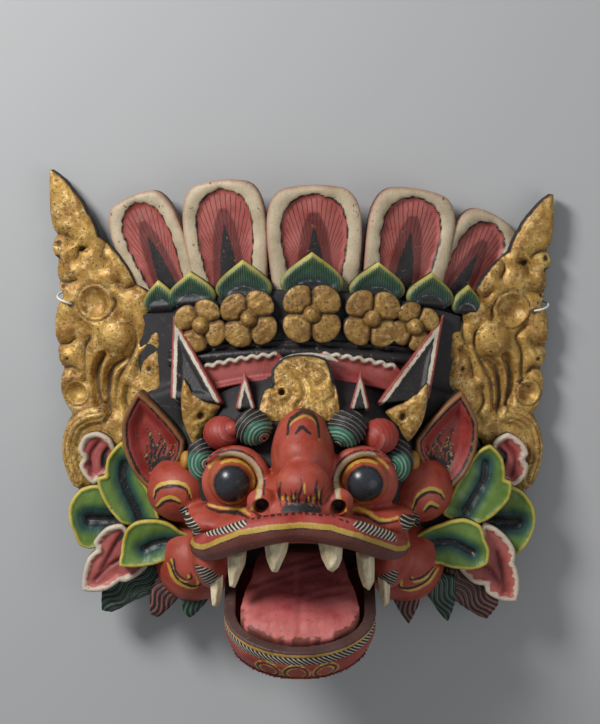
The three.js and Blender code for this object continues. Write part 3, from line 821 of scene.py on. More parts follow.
# %% Gilded rosettes
ROSETTE_HEIGHT = 9
BUTTON_RADIUS = 6.2
ROSETTES = [
    (-76, 30, 0.35, 21.5), (-39, 36, 0.15, 24), (9, 40, 0, 25.5), (55, 36, -0.1, 24.5), (88, 29, -0.4, 20),
]
dull_gold = gilded("dull_gold", srgb(120, 84, 36), srgb(164, 126, 62), srgb(192, 160, 98), 0.25)


def rosette_piece(number, x, y, spin, radius):
    angle = np.linspace(0, 2 * math.pi, 64, endpoint=False)
    reach = radius * (0.70 + 0.33 * np.abs(np.sin(2 * angle)) ** 0.55)
    outline = np.stack((reach * np.cos(angle), reach * np.sin(angle)), 1)

    def relief(xy, depth):
        away = np.hypot(*xy.T)
        slit = np.abs(xy).min(1)
        from_petal = np.hypot(*(np.abs(xy) - 0.41 * radius).T)
        cushion = 3.0 * dome(from_petal / (0.54 * radius)) - 2.6
        button = 5.6 * dome(away / BUTTON_RADIUS)
        slits = -3.4 * ridge(slit, 0, 1.4) * smooth_step(away, 6, 8.5)
        ring = -2.0 * ridge(away, 7.0, 0.9)
        rise = np.where(away < BUTTON_RADIUS, button - 0.5, cushion + slits)
        return rise + ring + uneven(xy, 9, 0.4, number)

    mesh, xy, depth, z = carve(outline, ROSETTE_HEIGHT + 4, 0.8, relief)
    away = np.hypot(*xy.T)
    # Painted shade with dirt: the slits between the petals and the ring round the button are painted dark
    # brown.
    slit = np.where(away > 7, np.abs(xy).min(1) - 1.1, 5)
    store(mesh, groove=np.minimum(slit, np.abs(away - 6.9) - 0.45), bare=np.minimum(z - 6, depth - 0.5))
    at = (x, y, crown_front(x) - 4)
    finish(f"rosette_{number}", mesh, pose(at, spin, turn=crown_turn(x)), dull_gold)


for rosette_number, row in enumerate(ROSETTES, 1):
    rosette_piece(rosette_number, *row)

# %% [markdown]
# Side wings
#
# Each wing is a gilded board with a notched edge. Its front is cut into leaves: a few fine grooves, two
# deep valleys beside a stem, two bowls, one round knob and a hoop at the foot. Each of these lowers or
# raises the points near its line or centre, so that one even skin carries them all. The sides of the
# board are black, the grooves, valleys, pits and cord hole are painted dark brown as dirt and painted
# shade, and the leaf is rubbed through in specks.

# %% Side wings
WING_THICKNESS = 13
WING_CLEAR = 6
WING_TURN = 0.2
WING_HOOP_RADIUS = 6
WING_CORD_HOLE = (17, 44)
CORD_HOLE_RADIUS = 2.8
WING_OUTLINE = [
    (0, 151), (0, 115), (4, 99), (1, 89), (6, 78), (5, 62), (10, 50), (4, 40), (4, 11), (8, -8), (7, -28),
    (16, -44), (9, -60), (8, -78), (14, -98), (24, -109), (40, -96), (62, -65), (90, -32), (90, 0),
    (90, 24), (79, 36), (80, 54), (68, 60), (58, 79), (44, 93), (38, 98), (29, 118), (19, 133),
]
WING_BOWLS = [(36.3, 45.8, 13.8), (20.2, -27, 9.6)]
WING_KNOB = (52.6, 19.5, 14.2)
WING_VALLEYS = [
    [(42, 4), (36.8, -6.2), (35.9, -19.6), (37.8, -31.6), (41, -42)],
    [(58, 1), (48, -7.6), (44.8, -26.3), (46, -42)],
]
WING_HOOP = [(40, -44), (28, -47), (17, -56), (13, -76), (20, -98)]
WING_GROOVES = [
    [(80.1, 33.7), (78.7, 20.4), (73.3, 13.1)], [(80.6, 9.8), (73.2, 1.8), (69.4, -12.9)],
    [(23.3, 31), (30.5, 23.1), (31.1, 17.7), (26.3, 7.1), (26, -18.2)],
    [(52.6, 46.9), (55, 32.4), (66, 27), (69, 15.1), (62, -2), (54, -16), (51, -40)],
    [(4, 99), (12, 98), (18, 94)], [(5, 62), (13, 61), (20, 63)], [(20.5, 80), (23, 87), (29, 89)],
    [(44, 93), (42, 84), (45, 76)], [(68, 60), (60, 57), (55, 61)], [(4, 11), (12, 12), (18, 16)],
    [(8, -8), (16, -7), (21, -11)], [(62, -22), (60, -34), (66, -44)],
]
WING_PITS = [(24.5, 88, 2.6), (6, 92, 2.4), (5.5, 81, 2.2), (80, -6.5, 1.8), (9, 58, 1.6), (12, 0, 1.6)]
WING_PLACES = {"left": (-196, 1.0, 0.0), "right": (199, 0.92, 19.0)}
gold_leaf = gilded("gold_leaf", srgb(140, 96, 38), srgb(190, 150, 74), srgb(220, 194, 130), 0.3)


def wing_piece(name, side):
    place_x, scale, drop = WING_PLACES[name]

    def local(points):
        u, y = np.asarray(points, float)[:, :2].T
        return np.stack((-side * u * scale, np.where(y > 0, y * (1 - drop / WING_TIP_Y), y)), 1)

    outline = lobed(local(WING_OUTLINE), 0.12)
    grooves = [local(line) for line in WING_GROOVES]
    valleys = [local(line) for line in WING_VALLEYS]
    hoop = local(WING_HOOP)
    knob = local([WING_KNOB])[0]
    bowls = [(local([row])[0], row[2]) for row in WING_BOWLS]
    pits = [(local([row])[0], row[2]) for row in WING_PITS]
    cord_hole = local([WING_CORD_HOLE])[0]

    def relief(xy, depth):
        line = strokes(xy, grooves, 0.5)
        rise = 2.4 * smooth_step(depth, 0, 6) + 2.6 * smooth_step(line, 0, 9) - 4.6 + uneven(xy, 16, 0.5, 3)
        rise -= 3.2 * cut(line, 1.3)
        rise -= 8.5 * cut(strokes(xy, valleys, 1.6, 0.7), 2.2)
        from_hoop = stroke(xy, hoop, 0.1) / WING_HOOP_RADIUS
        rise = np.where(from_hoop < 1, np.maximum(rise, 4.5 * dome(from_hoop) - 0.5), rise)
        rise -= 1.6 * ridge(from_hoop * WING_HOOP_RADIUS, 2.6, 0.7)
        for centre, radius in bowls:
            away = away_from(xy, centre) / radius
            cup = 0.5 - 7.5 * np.clip(1 - (away / 0.96) ** 2.5, 0, 1)
            inside = smooth_step(-away, -1.06, -0.94)
            rise = rise * (1 - inside) + inside * cup - 2.0 * ridge((away - 1.1) * radius, 0, 0.9)
        away = away_from(xy, knob) / WING_KNOB[2]
        rise = np.where(away < 1, np.maximum(rise, 8.0 * dome(away) - 1.5), rise)
        for centre, radius in pits:
            rise -= 3.5 * smooth_step(radius - away_from(xy, centre), -0.5, 1.0)
        return rise

    mesh, xy, depth, z = carve(outline, WING_THICKNESS, 1.1, relief)
    # Painted shade with dirt: dark brown lines along the grooves, valleys, bowl rims and hoop, and dark
    # discs on the pits and the cord hole.
    lines = np.minimum(strokes(xy, grooves, 1.0, 0.6), strokes(xy, valleys, 1.7, 0.7))
    lines = np.where(away_from(xy, knob) < 0.93 * WING_KNOB[2], 5, lines)
    for centre, radius in bowls:
        away = away_from(xy, centre)
        lines = np.minimum(np.where(away < radius, 5, lines), np.abs(away - 1.09 * radius) - 0.5)
    for centre, radius in pits + [(cord_hole, CORD_HOLE_RADIUS)]:
        lines = np.minimum(lines, away_from(xy, centre) - radius)
    lines = np.minimum(lines, np.abs(np.abs(stroke(xy, hoop, 0.1) - 4.6) - 2.4) - 0.5)
    store(mesh, groove=lines, bare=np.minimum(z - WING_THICKNESS + 4.5, depth - 0.3))
    finish(f"wing_{name}", mesh, pose((place_x, 0, WING_CLEAR), turn=side * WING_TURN), gold_leaf)


for name, side in SIDES:
    wing_piece(name, side)

# %% [markdown]
# Moulding, gum and forehead plaque
#
# A black moulding closes the band. Under it lies a pink gum with white scallops along its upper edge,
# and a gilded plaque stands before its middle. The moulding is a rod along the crown's arch, and the
# rest are boards that lean as the crown does.

# %% Moulding, gum and forehead plaque
MOULDING_RADIUS = 4.5
MOULDING_HALF = 104
MOULDING_DROP = 9
GUM_HALF_WIDTH = 76
GUM_GAP = 14
GUM_DEPTH = 21
black_paint = painted("black_paint", BLACK, [], roughness=0.45, chips=0.7)
gum_paint = painted("gum_paint", srgb(168, 82, 76), [
    (srgb(150, 60, 58), "low", 3.0),
    (WHITE, "scallop", 0.3),
], chips=0.6)


def arch_points(y, lift):
    return [(MOULDING_HALF * t, y - MOULDING_DROP * t * t, crown_front(MOULDING_HALF * t) + lift)
            for t in np.linspace(-1, 1, 9)]


rod = bmesh.new()
add_rod(rod, arch_points(9, 1), MOULDING_RADIUS)
add_rod(rod, arch_points(17, -2), 0.5 * MOULDING_RADIUS)
finish("moulding", skin(rod, 1.0), AS_MADE, black_paint)


def gum_top(x):
    return 9 - 12 * (x / GUM_HALF_WIDTH) ** 2


def gum_piece(name, side):
    scallops = 7
    across = np.linspace(GUM_GAP, GUM_HALF_WIDTH, scallops + 1)
    upper = [(side * x, gum_top(x)) for x in across]
    lower = [(side * x, y - GUM_DEPTH) for x, (_, y) in zip(across[::-1], upper[::-1])]
    outline = lobed(upper + lower, 0.5)
    outline[:, 1] = np.maximum(outline[:, 1], gum_top(outline[:, 0]) - GUM_DEPTH)

    def relief(xy, depth):
        return 2.2 * ridge(depth, 1.6, 1.4) - 1.5 * smooth_step(depth, 3, 6)

    mesh, xy, depth, _ = carve(outline, 14, 0.9, relief)
    middle_y = gum_top(xy[:, 0]) - GUM_DEPTH / 2
    on_top = (xy[:, 1] > middle_y) & (np.abs(np.abs(xy[:, 0]) - (GUM_GAP + GUM_HALF_WIDTH) / 2) < 29)
    store(mesh, scallop=np.where(on_top, depth - 3.0, 6), low=xy[:, 1] - middle_y + 2)
    finish(f"gum_{name}", mesh, pose((0, 0, CROWN_FRONT - 6), turn=side * 0.12), gum_paint)


for name, side in SIDES:
    gum_piece(name, side)
white_paint = painted("white_paint", WHITE, [], chips=0.8)
rod = bmesh.new()
add_rod(rod, [(-16, 4, 62), (-6, 7, 64), (8, 8, 64), (22, 6, 63), (30, 3, 62)], [1, 2.2, 2.5, 2.2, 1], 0.8)
finish("forehead_cap", skin(rod, 0.7), AS_MADE, white_paint)

PLAQUE_OUTLINE = [
    (-34, -9), (-32, 8), (-29, 15), (-23, 17), (-24, 31), (-14, 41), (6, 43), (19, 39), (24, 24), (29, -9),
]
PLAQUE_HOLE = (-16, 13)
PLAQUE_SCROLLS = [
    [(-24, 8), (-14, 4), (-8, 12), (-14, 20), (-22, 16)],
    [(4, 34), (14, 32), (18, 24), (10, 18), (4, 24)],
    [(18, 4), (24, 10), (24, 20)],
    [(-4, 2), (2, 12), (-2, 24), (-10, 32)],
]


def plaque_relief(xy, depth):
    hole = away_from(xy, PLAQUE_HOLE)
    scroll = strokes(xy, PLAQUE_SCROLLS, 1.0)
    return (2.5 * smooth_step(depth, 0, 6) - 2.5 - 2.2 * cut(scroll, 1.1)
            + uneven(xy, 10, 0.8, 5) - 9 * smooth_step(-hole, -3.2, -1.8))


mesh, xy, depth, z = carve(lobed(PLAQUE_OUTLINE, 0.1), 30, 0.9, plaque_relief)
# Painted shade with dirt: the hole and the scroll lines are painted dark brown.
hole = away_from(xy, PLAQUE_HOLE) - 2.6
store(mesh, groove=np.minimum(hole, strokes(xy, PLAQUE_SCROLLS, 0.4, 0.5)),
      bare=np.minimum(z - 19, depth - 0.9 - 1.6 * (xy[:, 1] > 18)))
finish("forehead_plaque", mesh, pose((2, -40, 58), lean=-0.35), gold_leaf)

# %% [markdown]
# Horns, spikes and corner leaves
#
# Black triangular flames rise above each eye. Their two upper edges carry a red and a white line. The
# lines follow the distance from those edges alone. Gilded leaves fill the corners beside them.

# %% Horns, spikes and corner leaves
horn_paint = painted("horn_paint", BLACK, [
    (WHITE, "white_edge", 0.3),
    (srgb(150, 66, 58), "red_edge", 0.3),
], chips=0.5)
CORNER_LEAVES = {
    -1: [
        (-90.6, -9.3), (-84, -22), (-72, -27), (-61.5, -31), (-66.5, -39.3), (-74.4, -47.3), (-81.6, -64.7),
        (-88.5, -51.2), (-92.5, -35.4),
    ],
    1: [(99.2, -13), (98, -35.4), (92.5, -50), (84, -60), (76.8, -47.3), (66, -36), (80, -29), (91, -22)],
}
CORNER_HOLES = {-1: (-77, -39), 1: (80, -40)}


def horn_piece(name, corners, thickness, where, width):
    outline = counter_clockwise(corners)
    mesh, xy, _, _ = carve(outline, thickness, 0.9, lambda xy, depth: -1.8 * smooth_step(depth, 5, 9), 1)
    away, _ = line_distance(xy, [corners[0], corners[2], corners[1]])
    store(mesh, red_edge=away - 0.45 * width, white_edge=away - width)
    finish(name, mesh, where, horn_paint)


def brow_pieces(name, side):
    flare = 14 if side > 0 else 0
    horn = [(side * 4, 0), (side * 46, 3), (side * (48 + flare), 71)]
    horn_piece(f"horn_{name}", horn, 33, pose((side * 51, -38, 42), lean=-0.3, turn=side * 0.16), 4.6)
    spike_x = 46 if side > 0 else 42
    horn_piece(f"spike_{name}", [(-8, 0), (8, 0), (side, 31)], 24,
               pose((side * spike_x, -38, 60), lean=-0.3), 3.6)
    hole_at = np.array(CORNER_HOLES[side])
    outline = lobed(CORNER_LEAVES[side], 0.1)

    def relief(xy, depth):
        hole = away_from(xy, hole_at)
        return (2.4 * smooth_step(depth, 0, 5) - 2.4 + uneven(xy, 11, 0.8, 8)
                - 4 * smooth_step(-hole, -3.4, -2))

    mesh, xy, depth, z = carve(outline, 24, 0.9, relief)
    # Painted shade with dirt: the hole is painted dark brown.
    hole = away_from(xy, hole_at) - 2.6
    store(mesh, groove=hole, bare=np.minimum(z - 18, depth - 0.4))
    finish(f"corner_leaf_{name}", mesh, Matrix.Translation((0, 0, 46)), gold_leaf)


for name, side in SIDES:
    brow_pieces(name, side)

# %% [markdown]
# Carrier
#
# Between the carvings the black-painted head and crown show, and the back and the hollow are bare wood.
# This is the block that the carver starts from: half a ball for the head, hollowed from behind, and a
# crescent for the crown, with the mouth cut through. A stored value marks the unpainted wood.

# %% Carrier
HEAD_Y = -92
HEAD_RADII = (112, 104, 104)
WALL = 12
CROWN_HALF_WIDTH = 128
CROWN_BACK = 9
CROWN_TOP = 58
CROWN_LIFT = 86
SIDE_BOARD = [(92, -158), (146, -150), (150, -90), (132, -30), (92, -16)]
SIDE_BOARD_THICKNESS = 30
SIDE_BOARD_BACK = 18
MOUTH_HALF_WIDTH = 52
MOUTH_SPRING = -152
MOUTH_RISE = 31
JAW_HALF_WIDTH = 58
JAW_LENGTH = 118
JAW_HEIGHT = 30
JAW_WALL = 9
JAW_OPEN = 0.46
JAW_REAR = (0, -150, 60)
JAW_POSE = pose(JAW_REAR, lean=math.pi / 2 + JAW_OPEN)
CARRIER_INSET = 1.5
carrier_paint, tree, shader = fresh("carrier_paint")
grain = noise(tree, 30, 4, 0.6, (1, 12, 1))
chisel = noise(tree, 90, 2, 0.5, (1, 0.3, 1))
raw = mixed(tree, between(tree, grain, 0.35, 0.65), srgb(150, 118, 82), srgb(190, 158, 116))
raw = mixed(tree, between(tree, noise(tree, 24, 3), 0.5, 0.75), raw, srgb(96, 72, 50))
soot = mixed(tree, between(tree, noise(tree, 200, 4, 0.6), 0.6, 0.7), BLACK, srgb(72, 58, 48))
bare_wood = between(tree, maths(tree, "ADD", stored(tree, "bare"), chisel), 1.5, 2.0)
coat(tree, shader, mixed(tree, bare_wood, soot, raw), 0.7, chisel, 0.6, 0.001)


def mouth_outline():
    turn = np.linspace(0, math.pi, 24)
    arch = np.stack((MOUTH_HALF_WIDTH * np.cos(turn), MOUTH_SPRING + MOUTH_RISE * np.sin(turn)), 1)
    return np.concatenate(([(-MOUTH_HALF_WIDTH, MOUTH_SPRING - 70), (MOUTH_HALF_WIDTH, MOUTH_SPRING - 70)],
                           arch))


across = np.linspace(-CROWN_HALF_WIDTH, CROWN_HALF_WIDTH, 24)
crescent = [(-CROWN_HALF_WIDTH, -CROWN_BACK)] + [(x, -crown_front(x)) for x in across]
crescent.append((CROWN_HALF_WIDTH, -CROWN_BACK))
clay = bmesh.new()
add_ball(clay, (0, HEAD_Y, 0), HEAD_RADII, 64)
stands = Matrix.Translation((0, -CROWN_LIFT, 0)) @ Matrix.Rotation(-math.pi / 2, 4, "X")
add_board(clay, counter_clockwise(crescent), CROWN_LIFT + CROWN_TOP, stands)
for side in (-1, 1):
    outline = counter_clockwise([(side * x, y) for x, y in SIDE_BOARD])
    add_board(clay, outline, SIDE_BOARD_THICKNESS, Matrix.Translation((0, 0, SIDE_BOARD_BACK)))
knife = bmesh.new()
add_ball(knife, (0, HEAD_Y, 0), [radius - WALL for radius in HEAD_RADII], 64)
add_board(knife, mouth_outline(), 120, Matrix.Translation((0, 0, 60)))
add_board(knife, [(-300, -300), (300, -300), (300, 300), (-300, 300)], 140,
          Matrix.Translation((0, 0, -140)))
add_board(knife, [(-JAW_HALF_WIDTH, -10), (JAW_HALF_WIDTH, -10), (JAW_HALF_WIDTH, 120),
                  (-JAW_HALF_WIDTH, 120)],
          JAW_HEIGHT + 6, JAW_POSE @ Matrix.Translation((0, 0, -6)))
mesh = skin(clay, 1.8, 3, knife)
co = places(mesh)
normal = np.empty(len(mesh.vertices) * 3)
mesh.vertices.foreach_get("normal", normal)
normal = normal.reshape(-1, 3)
inner = np.linalg.norm((co - (0, HEAD_Y, 0)) / (np.array(HEAD_RADII) - 0.6 * WALL), axis=1) < 1
store(mesh, bare=np.where((normal[:, 2] < -0.35) | inner, 2.0, 0.0))
high = co[:, 1] > -60
arch_top = CROWN_TOP * (1 - 0.4 * (co[:, 0] / CROWN_HALF_WIDTH) ** 2)
co[:, 1] = np.where(high, np.minimum(co[:, 1], arch_top), co[:, 1])
co[:, 2] = np.maximum(co[:, 2] - CARRIER_INSET * (co[:, 2] > 15), 0)
move(mesh, co)
finish("carrier", mesh, AS_MADE, carrier_paint)

# %% [markdown]
# Face
#
# The face is one swelling form: snout, nose, cheeks and eye sockets run into each other. It is built
# like clay, from balls pressed together, and the voxel skin fuses them. A rod makes each eyelid, and the
# mouth is cut out as an arch. Lines and bands are then painted on with strokes of a few points each.

# %% Face
EYES = np.array([(-51.8, -83.8), (49.4, -84)])
NOSTRILS = np.array([(-28.5, -94), (28.5, -94.5)])
MOUTH_DEPTH = 130
NOSTRIL_RADIUS = 5
NOSE_FROM_Z, EYES_FROM_Z = 130, 90
clay = bmesh.new()
for centre, radii in (((0, -104, 88), (42, 30, 82)), ((0, -117, 84), (76, 17, 76)),
                      ((2, -64, 96), (24.5, 35, 44)),
                      ((2, -78, 146), (20, 17, 20)), ((2, -60, 118), (20, 19, 22))):
    add_ball(clay, centre, radii, 40)
for side in (-1, 1):
    for centre, radii in (((side * 28, -92, 144), (12, 10.5, 12)), ((side * 69, -142, 74), (17, 30, 52)),
                          ((side * 94, -100, 46), (28, 27, 33)), ((side * 84, -160, 36), (32, 34, 38)),
                          ((side * 50, -86, 92), (26, 27, 15)), ((side * 66, -116, 84), (24, 12, 38))):
        add_ball(clay, centre, radii, 32)
    eye_x, eye_y = EYES[(side + 1) // 2]
    lid = [(eye_x - side * 24.5 * math.cos(t), eye_y + 23.5 * math.sin(t), 104 - 5 * max(-math.cos(t), 0))
           for t in np.linspace(-0.6, 2.5, 9)]
    add_rod(clay, lid, [2.5, 4, 5, 5.5, 5.5, 5, 4, 3, 2])
knife = board(mouth_outline(), MOUTH_DEPTH)
bmesh.ops.translate(knife, verts=knife.verts, vec=(0, 0, 60))
under = Matrix.Diagonal((300, 300, 20, 1)) @ Matrix.Translation((0, 0, -0.9))
bmesh.ops.create_cube(knife, size=2, matrix=under)
mesh = skin(clay, 1.13, 4, knife)
co = places(mesh)
xy = co[:, :2].copy()
from_nostril = np.min([away_from(xy, nostril) for nostril in NOSTRILS], axis=0)
co[:, 2] -= 10 * smooth_step(-from_nostril, -6.4, -4.6) * (co[:, 2] > 135)
co += uneven(co, 40, 0.35, 2)[:, None] * np.array((0, 0, 1))
move(mesh, co)

CHEEK_LINES = [
    [(-114.4, -104.6), (-110.5, -96.1), (-98.6, -92.5), (-89, -94.9), (-84.9, -104)],
    [(-112.4, -112.5), (-105.8, -105.8), (-99.8, -104), (-93.3, -106.4)],
    [(88, -111.8), (92.1, -102.1), (100.4, -97.3), (108.7, -99.7), (112.4, -104.6)],
    [(96.9, -114.2), (101.7, -108.8), (107.6, -111.8)],
]
JOWL_LINES = [
    [(-99.1, -151.9), (-96.8, -162.3), (-89.7, -168.4), (-84.8, -166), (-86, -162.3)],
    [(-102.2, -155), (-96.9, -167.2), (-86.1, -173.3), (-78.3, -172.1), (-78.8, -161.1)],
    [(85.4, -164.6), (87.9, -168.3), (97.4, -165.8), (104.6, -159.7)],
    [(77.1, -167.1), (78.3, -174.4), (86.7, -175.6), (98.7, -170.7), (107, -161)],
]
UNDER_EYES = [
    [(-72, -105), (-58.5, -107), (-47.2, -106), (-38, -107)],
    [(40.5, -105.4), (50.7, -107.7), (61.9, -113), (74.3, -112)],
]
FOREHEAD_LINES = [
    [(-9.3, -44.4), (-7.7, -35.6), (2.8, -29.9), (12.1, -34.5), (14.5, -46.2)],
    [(-3.1, -43), (1.7, -38.6), (7.5, -43.3)],
]
NOSE_FLAMES = [
    [(-14, -93), (-15.5, -84), (-14, -75)], [(-11, -95), (-9.5, -88), (-11, -82)],
    [(-7, -95), (-5.5, -87), (-7, -79)], [(-3, -95), (-4, -86), (-2.6, -78)],
    [(1, -95), (-1, -85), (1.4, -77), (0.4, -69)], [(4, -95), (5, -88), (4, -83)],
    [(8, -95), (7, -88), (8.6, -82)], [(11, -95), (13, -86), (11.4, -79), (13, -71)],
    [(16, -95), (15, -86), (17.4, -78)],
]
GOLD_FLAMES = [
    [(3, -73), (3.4, -82)], [(-8.6, -84), (-9, -89)], [(-4.8, -83), (-4.4, -88)], [(6, -84), (6.4, -89)],
    [(10, -84), (9.6, -90)], [(-12.6, -85), (-13, -89)], [(14, -80), (14.2, -88)],
]
HATCHES = [
    [(-91, -112), (-82, -120), (-76, -130)],
    [(79, -112), (86, -119), (92, -127)],
    [(-77, -149), (-70, -154), (-63.7, -165)],
    [(71.5, -152), (66, -159), (60, -167)],
]
JOWL_EDGES = [[(x + math.copysign(2.2, x), y - 1.4) for x, y in line] for line in JOWL_LINES]
face_paint = painted("face_paint", RED, [
    (ORANGE_RED, "warm", 12.0),
    (YELLOW, "yellow_lines", 0.5),
    (BLACK, "black_lines", 0.3),
    (BLACK, "hatch", 0.4),
    (WHITE, "hatch", 0.4, "across", 2.4, 0.28),
    (YELLOW, "lid_yellow", 0.6),
    (BLACK, "lid_black", 0.25),
    (CREAM, "lid_white", 0.35),
    (BLACK, "flames", 0.5),
    (YELLOW, "gold_flames", 0.3),
    (BLACK, "nostril", 0.8),
    (PURPLE_BROWN, "palate", 1.2),
    (BLACK, "rear", 3.0),
], chips=0.35)
eye_side = np.where(xy[:, 0] < 0, -1, 1)
from_eye = xy - EYES[(eye_side + 1) // 2]
eye_away = np.hypot(*from_eye.T)
inward = (0.77 * from_eye[:, 1] - 0.64 * eye_side * from_eye[:, 0]) / np.maximum(eye_away, 1)
by_eye, on_nose = co[:, 2] > EYES_FROM_Z, co[:, 2] > NOSE_FROM_Z
lid_width = 1.7 * np.clip(2 * inward - 0.3, 0.3, 1)
flame_foot = 4 * np.hypot((xy[:, 0] - 1) / 15, (xy[:, 1] + 95) / 5) - 4
flames = np.minimum(strokes(xy, NOSE_FLAMES, 1.15, 0.75), flame_foot)


def lid_ring(radius, half_width, start):
    """A ring painted round the eye, where the direction is further inward than start."""
    return np.where(by_eye, np.maximum(np.abs(eye_away - radius) - half_width, (start - inward) * 9), FAR)


store(mesh,
      warm=uneven(xy, 60, 8, 4) - 2,
      yellow_lines=np.minimum.reduce([
          strokes(xy - (0, 2.4), CHEEK_LINES, 1.7, 0.4), strokes(xy, JOWL_EDGES, 1.4, 0.4),
          strokes(xy - (0, 2.0), UNDER_EYES, 0.9, 0.2),
          strokes(xy + (0, 2.2), [FOREHEAD_LINES[0]], 0.5, 0.4)]),
      black_lines=np.minimum.reduce([
          strokes(xy, CHEEK_LINES, 1.2, 0.4), strokes(xy, JOWL_LINES, 1.0, 0.4),
          strokes(xy, FOREHEAD_LINES, 1.1, 0.2), strokes(xy, UNDER_EYES, 0.7, 0.3)]),
      hatch=strokes(xy, HATCHES, 6.5, 0.5),
      across=0.8 * xy[:, 1] + 0.5 * np.abs(xy[:, 0]),
      lid_yellow=lid_ring(20.4, 1.0, -0.2),
      lid_black=lid_ring(24.9, 0.6, 0.1),
      lid_white=lid_ring(21.9, lid_width, 0.4),
      flames=np.where(on_nose, flames + uneven(xy, 3, 0.35, 15), FAR),
      gold_flames=np.where(on_nose, strokes(xy, GOLD_FLAMES, 0.9, 0.6), FAR),
      nostril=np.where(on_nose, from_nostril - NOSTRIL_RADIUS, FAR),
      palate=-depth_inside(xy, mouth_outline()) - 1.2,
      rear=co[:, 2] - 24 - 10 * (np.abs(xy[:, 0]) < 90))
finish("face", mesh, AS_MADE, face_paint)

# %% [markdown]
# Eyes
#
# Each eye is a round ball, painted blue-black where it looks forward and orange-red towards the lid,
# with a yellow and a black ring on the side of the nose. It has more gloss than the rest.

# %% Eyes
EYE_RADII = (19.5, 19.5, 24)
EYE_FRONT = 97
IRIS_RADIUS = 13.5
YELLOW_RING, BLACK_RING = 16.9, 18.2
eye_paint = painted("eye_paint", srgb(172, 78, 48), [
    (srgb(48, 52, 58), "iris", 0.7),
    (srgb(24, 26, 30), "iris_edge", 1.2),
    (YELLOW, "yellow_ring", 0.3),
    (BLACK, "black_ring", 0.3),
], roughness=0.25, chips=0.0, bump=0.12)
for (name, side), eye in zip(SIDES, EYES):
    clay = bmesh.new()
    add_ball(clay, (*eye, EYE_FRONT), EYE_RADII, 64)
    mesh = skin(clay, 0.8, 2)
    from_eye = places(mesh)[:, :2] - eye
    away = np.hypot(*from_eye.T)
    outside = (0.64 * side * from_eye[:, 0] - 0.77 * from_eye[:, 1]) / 4 + 1.5
    store(mesh, iris=away - IRIS_RADIUS, iris_edge=np.abs(away - IRIS_RADIUS + 0.4) - 0.9,
          yellow_ring=np.maximum(np.abs(away - YELLOW_RING) - 0.8, outside),
          black_ring=np.maximum(BLACK_RING - away, outside))
    finish(f"eye_{name}", mesh, AS_MADE, eye_paint)

# %% [markdown]
# Brow curls
#
# Six round curls crowd above the eyes. Four are green and black and striped like shells: the stripes are
# rings about a point on each ball's side, and the same rings are cut as grooves. Two are plain red.

# %% Brow curls
CURLS = [
    ("green_left", (-36, -43, 99), (15, 14, 14), (-26.8, -50.6), "green"),
    ("red_left", (-60, -48.5, 91), (14.5, 13.5, 16), (-51.5, -42), "red"),
    ("outer_left", (-76, -71, 83), (11.5, 16.5, 14), (-71, -72), "green"),
    ("green_right", (36, -44, 99), (15, 14.5, 14), (27.4, -56.9), "green"),
    ("red_right", (61.6, -51, 91), (14.5, 14, 16), (53, -51), "red"),
    ("outer_right", (76, -71.5, 83), (11.5, 16.5, 14), (69.4, -75), "green"),
]
RING_PERIOD = 3.0
curl_paints = {
    "green": painted("green_curl_paint", BLACK, [
        (GREY, None, 0.5, "ring", RING_PERIOD, 0.14),
        (srgb(48, 104, 82), "band", 1.0),
        (PALE_GREEN, "glow", 2.5, "ring", RING_PERIOD, 0.45),
        (WHITE, "inner", 0.4, "ring", 2.0, 0.3),
    ], chips=0.2),
    "red": painted("red_curl_paint", RED, [
        (srgb(190, 110, 96), "glow", 2.0),
        (srgb(92, 36, 34), "band", 2.5, "ring", 2 * RING_PERIOD, 0.1),
        (BLACK, "rim", 1.5),
    ], chips=0.2),
}
for name, centre, radii, eye, kind in CURLS:
    clay = bmesh.new()
    add_ball(clay, centre, radii, 48)
    if name == "red_left":
        add_ball(clay, (-51.5, -44, 101), (6, 6, 6), 24)
    mesh = skin(clay, 0.8, 3)
    co = places(mesh)
    ring = away_from(co[:, :2], eye)
    way = (co - centre) / np.linalg.norm(co - centre, axis=1)[:, None]
    co += way * ((0.45 if kind == "green" else 0.12) * np.cos(2 * math.pi * ring / RING_PERIOD))[:, None]
    move(mesh, co)
    above = (co[:, 1] - centre[1]) - 0.45 * radii[1]
    store(mesh, ring=ring, band=np.maximum(np.abs(ring - 10.5) - 5.5, above), inner=ring - 5,
          glow=np.maximum(np.abs(ring - 11) - (2.5 if kind == "green" else 0.8), above + 3),
          rim=co[:, 2] - centre[2] - 1)
    finish(f"curl_{name}", mesh, AS_MADE, curl_paints[kind])

# %% [markdown]
# Upper lip
#
# The lip is a heavy roll that arches over the mouth. A yellow line runs along its lower edge. Above it
# the lip is red, and the underside is a dull purple-brown. The line is given as points across the lip,
# and each place on the skin knows how far above or below the line it is.

# %% Upper lip
LIP_LINE = [
    (-76, -133, 110), (-64, -126, 139), (-34, -111, 167), (0, -106, 168), (34, -111, 167), (64, -126, 139),
    (76, -133, 110),
]
LIP_RADII = [9, 11.5, 11.5, 11, 11.5, 11.5, 9]
LIP_EDGE = [
    (-80, -128), (-71.2, -125.5), (-58.8, -117.3), (-43.8, -109.1), (-22.4, -104.2), (1.1, -102.6),
    (22.5, -104.2), (41.7, -110.8), (58.9, -119.5), (71.8, -127.1), (80, -130),
]
LIP_HATCHES = [
    [(-72, -116.3), (-59.9, -110.2), (-49, -105.8), (-40, -102.5)],
    [(40.3, -103.6), (51.2, -108), (62.2, -113.5), (71, -120.2)],
]
clay = bmesh.new()
add_rod(clay, LIP_LINE, LIP_RADII)
edge_points = np.array(LIP_EDGE)
lip_z = np.interp(edge_points[:, 0], [p[0] for p in LIP_LINE], [p[2] for p in LIP_LINE])
add_rod(clay, np.column_stack((edge_points, lip_z + 8.6)), 2.6)
mesh = skin(clay, 0.9, 3)
co = places(mesh)
xy = co[:, :2]
above = xy[:, 1] - np.interp(xy[:, 0], edge_points[:, 0], edge_points[:, 1])
